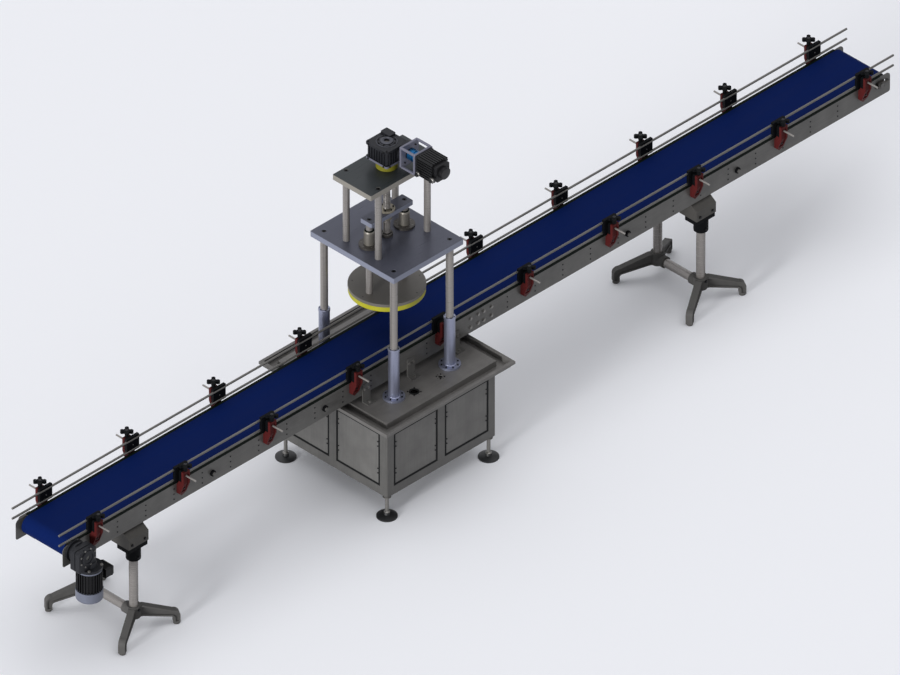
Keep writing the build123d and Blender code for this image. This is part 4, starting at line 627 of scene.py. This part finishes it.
def turned_mesh(name, profiles, place, steps=40):
    """Profiles of radius and height in mm, each spun about Z, then put in place.

    A profile that starts on the axis stays open, and any other is closed.
    """
    shape = bmesh.new()
    for profile in profiles:
        if profile[0][0]:
            profile = [*profile, profile[0]]
        angles = [2 * pi * i / steps for i in range(steps)]
        loops = [[shape.verts.new((r * MM * cos(a), r * MM * sin(a), h * MM)) for r, h in profile]
                 for a in angles]
        for here, there in zip(loops, loops[1:] + loops[:1]):
            for j in range(len(profile) - 1):
                shape.faces.new((here[j], there[j], there[j + 1], here[j + 1]))
    bmesh.ops.remove_doubles(shape, verts=shape.verts, dist=1e-6)
    bmesh.ops.recalc_face_normals(shape, faces=shape.faces)
    bmesh.ops.transform(shape, matrix=place, verts=shape.verts)
    return smooth_mesh(name, shape, 35)


def lathe(name, profile, centre, aim, finish, body):
    """A turned piece, with its axis along an aim."""
    place = Matrix.Translation(centre) @ aim.to_track_quat("Z", "Y").to_matrix().to_4x4()
    keep(name, turned_mesh(name, [profile], place), finish, body)


def blocks(name, boxes, edge, finish, body):
    """One piece of several bevelled blocks, each given by two corners."""
    shape = bmesh.new()
    for low, high in boxes:
        corners = bmesh.ops.create_cube(shape, size=1)["verts"]
        bmesh.ops.scale(shape, vec=[b - a for a, b in zip(low, high)], verts=corners)
        bmesh.ops.translate(shape, vec=[(a + b) / 2 for a, b in zip(low, high)], verts=corners)
        edges = {e for v in corners for e in v.link_edges}
        bmesh.ops.bevel(shape, geom=list(edges), offset=edge, segments=3, profile=0.6, affect="EDGES")
    keep(name, smooth_mesh(name, shape, 40), finish, body)


class CapperFinishes(Operator):
    """Give every modelled piece its finish"""

    bl_idname = "capper.finishes"
    bl_label = "Finishes"

    def execute(self, context):
        make_finishes(context.scene.capper_colours)
        trees.update(screw=socket_screw_tree(), bolt=stacked_tree("hex_bolts", 6),
                     button=stacked_tree("buttons", 20), thread=thread_tree())
        finish_of = {node: name for name, nodes, *_ in FINISHES for node in nodes.split()}
        for name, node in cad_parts.items():
            node.data.materials.clear()
            node.data.materials.append(finishes[finish_of[name]])
        return {"FINISHED"}


class CapperCabinet(Operator):
    """Screws of the cabinet's panels, and nuts and collars of its levelling feet"""

    bl_idname = "capper.cabinet"
    bl_label = "Cabinet fittings"

    def execute(self, context):
        sizes = context.scene.capper_sizes
        low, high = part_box("cabinet_panels")
        half = (high.x - low.x) / 2
        to_panel, to_screw = 182.5 * MM, 141 * MM
        spots = []
        for quarter, panel, side, share, step in product(range(4), SIDES, SIDES, (0.25, 0.8), SIDES):
            turn = Matrix.Rotation(quarter * pi / 2, 3, "Z")
            flat = turn @ Vector((half, panel * to_panel + side * to_screw, 0))
            z = low.z + share * (high.z - low.z) + step * sizes.panel_screw_pitch / 2
            spots.append(at(press.x + flat.x, flat.y, z, turn @ X))
        socket_screws("panel_screws", spots, sizes.panel_screw, 2 * MM, "base")
        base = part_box("cabinet_frame")[0].z
        nut = 15 * MM
        for i in range(1, 5):
            x, y, _ = middle(f"levelling_foot_{i}")
            hex_bolts(f"lock_nut_{i}", [at(x, y, base - nut)], 18 * MM, nut, "base")
            lathe(f"foot_collar_{i}", [(9.9, 0), (16, 0), (16, 5), (12, 8), (9.9, 8)],
                  Vector((x, y, FOOT_PAD)), UP, "zinc_plate", f"foot_{i}")
        return {"FINISHED"}


class CapperTable(Operator):
    """Screws of the column sleeves, table and conveyor brackets, and the cable grommet"""

    bl_idname = "capper.table"
    bl_label = "Table fittings"

    def execute(self, context):
        sizes = context.scene.capper_sizes
        low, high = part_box("column_sleeves")
        flange_radius = 57.5 * MM
        base, tops = [], []
        for x, y in four_corners("column_sleeves", flange_radius):
            base += ring((x, y, low.z + FLANGE), 45 * MM, 8, start=pi / 8)
            tops += ring((x, y, high.z), 25.6 * MM, 6)
        socket_screws("sleeve_screws", base, sizes.flange_screw, 4.5 * MM, "base")
        socket_screws("collar_screws", tops, 2.8 * MM, 2 * MM, "base")
        # Two round holes in the table, the left one with a grommet for cables.
        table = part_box("table_top")[1].z
        left, right = (Vector((press.x + side * 94 * MM, -290 * MM, table)) for side in SIDES)
        plugs = ring(left, 34 * MM, 4, start=pi / 4) + ring(right, 20.4 * MM, 4, start=pi / 4)
        socket_screws("table_screws", plugs, 4 * MM, 2.4 * MM, "base")
        grommet = [(19, -3), (23.8, -3), (23.8, 0), (27, 0), (27, 2.5), (20.5, 3.5), (19, 2)]
        lathe("entry_grommet", grommet, left, UP, "seal_rubber", "base")
        low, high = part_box("frame_brackets")
        to_frame, to_table = 175 * MM, 198 * MM
        bolts = []
        for x, side in product(TABLE_BRACKETS, SIDES):
            for across in (-14 * MM, 14 * MM):
                bolts.append(at(x + across, side * to_frame, high.z - 30 * MM, Y * side))
            bolts.append(at(x, side * to_table, low.z + 5 * MM))
        hex_bolts("bracket_bolts", bolts, 7 * MM, 6 * MM, "base")
        return {"FINISHED"}


class CapperHead(Operator):
    """Screws of the head's plates, bushes and bearing, and wipers of the guide rods"""

    bl_idname = "capper.head"
    bl_label = "Head fittings"

    def execute(self, context):
        sizes = context.scene.capper_sizes
        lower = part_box("head_plate")[1].z
        spots = []
        for plate, columns, radius in (("head_plate", "head_columns", 20 * MM),
                                       ("gearbox_plate", "upper_columns", 18 * MM)):
            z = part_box(plate)[1].z - SCREW_SINK
            spots += [at(x, y, z) for x, y in four_corners(columns, radius)]
        socket_screws("plate_screws", spots, sizes.plate_screw, 12 * MM, "head")
        rods = [Vector((press.x + side * ROD_OFFSET, 0, lower)) for side in SIDES]
        bushes = [spot for rod in rods for spot in ring(rod + UP * FLANGE / 2, 43 * MM, 6)]
        socket_screws("bush_screws", bushes, sizes.flange_screw - 0.3 * MM, 5.4 * MM, "head",
                      "zinc_plate")
        bush_height = 92 * MM
        for name, rod in zip(("left", "right"), rods):
            lathe(f"{name}_rod_wiper", [(18.2, 0), (25, 0), (25, 3), (21, 5), (18.2, 5)],
                  rod + UP * bush_height, UP, "strip_plastic", "head")
        bearing = ring((press.x, 0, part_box("screw_bearing")[1].z), 24.5 * MM, 6)
        socket_screws("bearing_screws", bearing, 3 * MM, 2.6 * MM, "head")
        return {"FINISHED"}


class CapperRam(Operator):
    """Screws of the crosshead, nut and press plate"""

    bl_idname = "capper.ram"
    bl_label = "Ram fittings"

    def execute(self, context):
        sizes = context.scene.capper_sizes
        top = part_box("crosshead")[1].z - SCREW_SINK
        spots = [at(press.x + side * ROD_OFFSET, 0, top) for side in SIDES]
        socket_screws("crosshead_screws", spots, sizes.plate_screw, 12 * MM, "ram")
        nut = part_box("screw_nut")[1].z
        socket_screws("nut_screws", ring((press.x, 0, nut), 33 * MM, 6, start=pi / 6),
                      sizes.flange_screw, 4.5 * MM, "ram")
        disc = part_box("press_plate")[1].z - 1.5 * MM
        buttons("disc_screws", ring((press.x, 0, disc), 177 * MM, 7, start=radians(130)),
                3.4 * MM, 2 * MM, "ram")
        return {"FINISHED"}


class CapperLeadScrew(Operator):
    """Threaded lead screw between the two plates"""

    bl_idname = "capper.lead_screw"
    bl_label = "Lead screw"

    def execute(self, context):
        sizes = context.scene.capper_sizes
        low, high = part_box("lead_screw")
        radius = (high.x - low.x) / 2
        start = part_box("screw_bearing")[1].z + 0.2 * MM
        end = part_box("gearbox_plate")[0].z - 2 * MM
        root, journal, drive = radius - sizes.thread_depth, 12.5 * MM, 14 * MM
        # The thread runs out 4 mm short of each end, and the core is measured from where it starts.
        runout = 4 * MM
        foot, length = start + runout, end - start - 2 * runout
        levels = [(0, low.z), (journal, low.z), (journal, start), (root, start), (root, end),
                  (drive, end), (drive, high.z), (0, high.z)]
        core = turned_mesh("core", [[(r / MM, (z - foot) / MM) for r, z in levels]], Matrix())
        values = {"Radius": radius - sizes.thread_depth / 2, "Depth": sizes.thread_depth,
                  "Root Width": sizes.thread_depth * 2.6, "Crest Width": sizes.thread_depth * 1.5,
                  "Length": length, "Turns": length / sizes.screw_lead,
                  "Starts": float(sizes.thread_starts)}
        screw = grown("lead_screw_thread", core, "thread", values, "shaft_chrome", "lead_screw")
        screw.data.transform(Matrix.Translation((press.x, 0, foot)))
        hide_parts("lead_screw")
        return {"FINISHED"}


class CapperGearbox(Operator):
    """Ribs, cover, ridges and screws of the press gearbox"""

    bl_idname = "capper.gearbox"
    bl_label = "Press gearbox"

    def execute(self, context):
        sizes = context.scene.capper_sizes
        half, height, waist_depth = 77 * MM, 100 * MM, 6 * MM
        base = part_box("gearbox_ring")[1].z
        top = base + height
        # Seven ribs a side, 18 mm apart, 1 mm sunk in the waist, which starts 14 mm from either end.
        rib_low, rib_high = base + 14 * MM, top - 14 * MM
        ribs = []
        for quarter, step in product(range(4), range(-3, 4)):
            turn = Matrix.Rotation(quarter * pi / 2, 3, "Z")
            root = turn @ Vector((half - waist_depth - 1 * MM, (step * 18 - 2) * MM, 0))
            crest = turn @ Vector((half - 0.5 * MM, (step * 18 + 2) * MM, 0))
            xs, ys = sorted((root.x, crest.x)), sorted((root.y, crest.y))
            ribs.append(((press.x + xs[0], ys[0], rib_low), (press.x + xs[1], ys[1], rib_high)))
        blocks("gearbox_ribs", ribs, 0.6 * MM, "cast_case", "head")
        corner = 66 * MM
        spots = [at(press.x + i * corner, j * corner, top) for i, j in product(SIDES, SIDES)]
        spots += ring((press.x, 0, top), 45 * MM, 8, start=pi / 8)
        for aim, sides in ((-X, SIDES), (Y, SIDES), (-Y, (1,))):
            for i, j in product(sides, SIDES):
                flat = aim * half + Vector((aim.y, aim.x, 0)) * (i * 55 * MM)
                z = base + height / 2 + j * 43 * MM
                spots.append(at(press.x + flat.x, flat.y, z, aim))
        socket_screws("gearbox_screws", spots, sizes.case_screw, 4 * MM, "head")
        cover = [(15, 0), (33, 0), (33, 2), (27, 5), (20, 5), (19, 3), (15, 3)]
        ridges = [(f"gearbox_{name}_ridge", 0, [(a, -1), (b, -1), (b, 1), (b - 1, 2), (a + 1, 2), (a, 1)])
                  for name, a, b in (("inner", 36, 39.5), ("outer", 51, 55))]
        for name, lift, profile in [("gearbox_cover", 4 * MM, cover), *ridges]:
            lathe(name, profile, Vector((press.x, 0, top + lift)), UP, "turned_case", "head")
        return {"FINISHED"}


class CapperServo(Operator):
    """Lantern and coupling screws, connectors and rear cap of the servo motor"""

    bl_idname = "capper.servo"
    bl_label = "Servo motor"

    def execute(self, context):
        sizes = context.scene.capper_sizes
        centre = middle("motor_coupling")
        low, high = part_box("motor_lantern")
        flange = 12 * MM
        spots = [at(centre.x + i * 38 * MM, y, centre.z + j * 38 * MM, aim)
                 for y, aim in ((high.y - flange, -Y), (low.y + flange, Y))
                 for i, j in product(SIDES, SIDES)]
        socket_screws("lantern_screws", spots, sizes.case_screw, 5 * MM, "head")
        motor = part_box("servo_motor")[0]
        lathe("encoder_cap", [(0, 0), (30, 0), (30, 2), (26, 4), (0, 4)],
              Vector((centre.x, motor.y, centre.z)), -Y, "encoder_cover", "head")
        # The two connectors, by how far behind the lantern and below the shaft they are.
        plug = [(10.8, 0), (13, 1), (13, 9), (11.6, 10), (11.6, 14), (10.8, 14)]
        for i, (behind, below) in enumerate(((27.4 * MM, 33 * MM), (127 * MM, 22 * MM)), 1):
            lathe(f"servo_plug_{i}", plug, Vector((motor.x + 18 * MM, low.y - behind, centre.z - below)),
                  -X, "zinc_plate", "head")
        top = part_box("motor_coupling")[1].z - 0.6 * MM
        clamps = [at(centre.x, centre.y + side * 26 * MM, top) for side in SIDES]
        socket_screws("coupling_screws", clamps, 3.2 * MM, 1.4 * MM, "motor_coupling")
        return {"FINISHED"}


class CapperConveyor(Operator):
    """Screws and bolts along the conveyor's side frames, and collars of the rollers' axles"""

    bl_idname = "capper.conveyor"
    bl_label = "Conveyor screws"

    def execute(self, context):
        sizes = context.scene.capper_sizes
        low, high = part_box("side_frames")
        face, level = high.y, (low.z + high.z) / 2
        # Groups of three screws every 200 mm, but none under a table bracket.
        clear = 34 * MM
        small, large = [], []
        for side in SIDES:
            for group, end in product(range(13), SIDES):
                x = end * (190 + 200 * group) * MM
                if any(abs(x - place) < clear for place in TABLE_BRACKETS):
                    continue
                for step in (-1, 0, 1):
                    small.append(at(x, side * face, level + step * sizes.frame_screw_pitch, Y * side))
            for x, z in product((-75, -20, 20, 75), (-27, 27)):
                large.append(at(x * MM, side * face, level + z * MM, Y * side))
        buttons("frame_screws", small, sizes.frame_screw, 2.4 * MM, "base")
        hex_bolts("splice_bolts", large, sizes.bolt_width, 6 * MM, "base")
        collar = [(10.3, 0), (17, 0), (17, 9), (14, 12), (10.3, 12)]
        for i, (side, name) in product(range(1, 5), ((-1, "near"), (1, "far"))):
            axle = middle(f"return_roller_{i}")
            lathe(f"axle_collar_{i}_{name}", collar, Vector((axle.x, side * face, axle.z)), Y * side,
                  "black_nylon", "base")
        return {"FINISHED"}


class CapperRails(Operator):
    """Screws of the rail holders, brackets and knobs"""

    bl_idname = "capper.rails"
    bl_label = "Rail fittings"

    def execute(self, context):
        level = middle("near_cross_rods").z
        inner = -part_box("near_rail_holders")[1].y
        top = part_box("clamp_knobs")[1].z
        clamp = 210 * MM
        # The bracket's face leans out as it rises, 36 mm in 88, and is sunk 5 mm between its cheeks.
        lean = Vector((0, 88, -36)).normalized()
        seat = Vector((0, 201.1 * MM, 738 * MM))
        # The brackets within 61 mm of a column sleeve have no knob.
        to_sleeve, sleeve_room = 200 * MM, 61 * MM
        bolts, knobs = [], []
        for name, side in (("near", -1), ("far", 1)):
            holders = []
            for x in bracket_places():
                holders.append(at(x, side * inner, level, Y * -side))
                bolts.append(at(x, side * seat.y, seat.z, Vector((0, side * lean.y, lean.z))))
                if abs(abs(x - press.x) - to_sleeve) > sleeve_room:
                    knobs.append(at(x, side * clamp, top))
            socket_screws(f"{name}_holder_screws", holders, 3.6 * MM, 1.6 * MM, f"{name}_guide",
                          "zinc_plate")
        socket_screws("bracket_screws", bolts, 5 * MM, 4 * MM, "base")
        buttons("knob_caps", knobs, 9 * MM, 2.5 * MM, "base")
        return {"FINISHED"}


class CapperDrive(Operator):
    """Screws, bolts and fan grille of the conveyor's gearmotor"""

    bl_idname = "capper.drive"
    bl_label = "Conveyor drive"

    def execute(self, context):
        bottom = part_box("drive_motor")[0].z
        low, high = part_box("drive_gearbox")
        shaft = middle("drive_drum")
        # The motor stands 40 mm beside the drum's shaft, and 71 mm in front of the gearbox's back.
        motor = Vector((shaft.x + 40 * MM, high.y - 71 * MM, 0))
        cover = Vector((shaft.x, motor.y - 33 * MM, shaft.z))
        socket_screws("drive_screws", ring(cover, 51 * MM, 8, -Y, pi / 8), 4.6 * MM, 3.5 * MM, "base",
                      "zinc_plate")
        flange = ring(motor + UP * low.z, 63 * MM, 4, -UP, pi / 4)
        hex_bolts("motor_bolts", [(spot + UP * 15 * MM, UP) for spot, aim in flange], 7 * MM, 6 * MM,
                  "base")
        rings = [[(r - 1.5, -1.2), (r + 1.5, -1.2), (r + 1.5, 1), (r - 1.5, 1)] for r in (20, 34, 48)]
        grille = turned_mesh("fan_grille", rings, Matrix.Translation(motor + UP * bottom), 36)
        keep("fan_grille", grille, "black_oxide", "base")
        return {"FINISHED"}


class CapperStands(Operator):
    """Bolts of the stands' heads, sockets and hubs"""

    bl_idname = "capper.stands"
    bl_label = "Stand fittings"

    def execute(self, context):
        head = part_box("stand_heads")[0].z + 20 * MM
        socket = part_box("stand_sockets")[0].z + 22 * MM
        # Distances from the conveyor's middle to the faces that the bolts sit on.
        head_face, hub_face, socket_face = 194 * MM, (155 + 36.6) * MM, (155 + 38.6) * MM
        base_bolts, hub_bolts = [], {"left": [], "right": []}
        for name, side in product(hub_bolts, SIDES):
            x = middle(f"{name}_stand_tubes").x
            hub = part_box(f"{name}_stand_legs")[1].z - 16 * MM
            base_bolts += [at(x + step * 45 * MM, side * head_face, head, Y * side)
                           for step in SIDES]
            base_bolts.append(at(x, side * socket_face, socket, Y * side))
            hub_bolts[name].append(at(x, side * hub_face, hub, Y * side))
        hex_bolts("stand_head_bolts", base_bolts, 7 * MM, 6 * MM, "base", "black_oxide")
        for name, spots in hub_bolts.items():
            hex_bolts(f"{name}_hub_bolts", spots, 7 * MM, 7 * MM, f"{name}_stand",
                      "black_oxide")
        return {"FINISHED"}


def seen_directly(tree):
    """1 for rays from the camera, mirrored or passed through, and 0 for light."""
    path = add(tree, "ShaderNodeLightPath")
    mirrored = add(tree, "ShaderNodeMath", {
        0: path.outputs["Is Glossy Ray"], 1: path.outputs["Is Transmission Ray"]}, operation="MAXIMUM")
    seen = add(tree, "ShaderNodeMath", {
        0: path.outputs["Is Camera Ray"], 1: mirrored.outputs["Value"]}, operation="MAXIMUM")
    return seen.outputs["Value"]


class CapperStage(Operator):
    """Floor, lamps, sky and camera"""

    bl_idname = "capper.stage"
    bl_label = "Stage"

    def execute(self, context):
        scene = context.scene
        colours = scene.capper_colours
        reach = 400
        corners = [(x * reach, y * reach, 0) for x, y in ((-1, -1), (1, -1), (1, 1), (-1, 1))]
        floor_mesh = bpy.data.meshes.new("floor")
        floor_mesh.from_pydata(corners, [], [(0, 1, 2, 3)])
        floor = put("floor", floor_mesh)
        tree, shader = surface("studio_floor", colours.floor, 0.0, 0.9)
        # The floor looks pale, but throws back only a grey floor's light at the machine's sides.
        shown = add(tree, "ShaderNodeMix", {
            "Factor": seen_directly(tree), "A": (0.32, 0.32, 0.33, 1),
            "B": (*colours.floor, 1)}, data_type="RGBA")
        tree.links.new(shown.outputs["Result"], shader.inputs["Base Color"])
        floor_mesh.materials.append(finishes["studio_floor"])
        sky = bpy.data.worlds.new("studio_sky")
        scene.world = sky
        sky.use_nodes = True
        tree = sky.node_tree
        tree.nodes.clear()
        soft = add(tree, "ShaderNodeBackground", {"Color": (0.97, 0.98, 1, 1), "Strength": 0.44})
        white = add(tree, "ShaderNodeBackground", {"Color": (*colours.floor, 1), "Strength": 1.0})
        seen = add(tree, "ShaderNodeMixShader", {
            0: seen_directly(tree), 1: soft.outputs["Background"], 2: white.outputs["Background"]})
        add(tree, "ShaderNodeOutputWorld", {"Surface": seen.outputs["Shader"]})
        for name, strength, angle, toward in (
                ("key", 3.05, 14, Vector((-1.0, -0.15, 0.13))),
                ("top", 1.15, 70, UP)):
            lamp = bpy.data.lights.new(name, "SUN")
            lamp.energy = strength
            lamp.angle = radians(angle)
            put(name, lamp).rotation_euler = toward.to_track_quat("Z", "Y").to_euler()
        # The photograph has no perspective, so the camera stands far off with a long lens.
        azimuth, elevation = radians(-45), radians(35.26)
        toward = Vector((sin(azimuth) * cos(elevation), -cos(azimuth) * cos(elevation), sin(elevation)))
        lens = bpy.data.cameras.new("camera")
        lens.sensor_width = 9
        lens.lens = 310
        lens.clip_start = 1
        lens.clip_end = 2000
        # What the photograph's middle shows, and how many metres its width spans there.
        target, seen_width = Vector((-0.1285, -0.0759, 0.5946)), 4.5755
        camera = put("camera", lens)
        camera.location = target + toward * (seen_width * lens.lens / lens.sensor_width)
        camera.rotation_euler = toward.to_track_quat("Z", "Y").to_euler()
        scene.camera = camera
        scene.view_settings.view_transform = "Standard"
        return {"FINISHED"}


OPERATORS = (CapperFinishes, CapperCabinet, CapperTable, CapperHead, CapperRam, CapperLeadScrew,
             CapperGearbox, CapperServo, CapperConveyor, CapperRails, CapperDrive, CapperStands,
             CapperStage)


class CapperPanel(Panel):
    """Sizes, colours and pieces of the capping machine"""

    bl_idname = "VIEW3D_PT_capper"
    bl_label = "Capping machine"
    bl_space_type = "VIEW_3D"
    bl_region_type = "UI"
    bl_category = "Capping machine"

    def draw(self, context):
        for operator in OPERATORS:
            self.layout.operator(operator.bl_idname)
        for group in (context.scene.capper_sizes, context.scene.capper_colours):
            for name in group.__annotations__:
                self.layout.prop(group, name)


CLASSES = (CapperSizes, CapperColours, *OPERATORS, CapperPanel)


def register():
    for item in CLASSES:
        bpy.utils.register_class(item)
    bpy.types.Scene.capper_sizes = PointerProperty(type=CapperSizes)
    bpy.types.Scene.capper_colours = PointerProperty(type=CapperColours)


def unregister():
    del bpy.types.Scene.capper_colours
    del bpy.types.Scene.capper_sizes
    for item in reversed(CLASSES):
        bpy.utils.unregister_class(item)


def main():
    register()
    for operator in OPERATORS:
        group, name = operator.bl_idname.split(".")
        getattr(getattr(bpy.ops, group), name)()


if __name__ == "__main__":
    main()
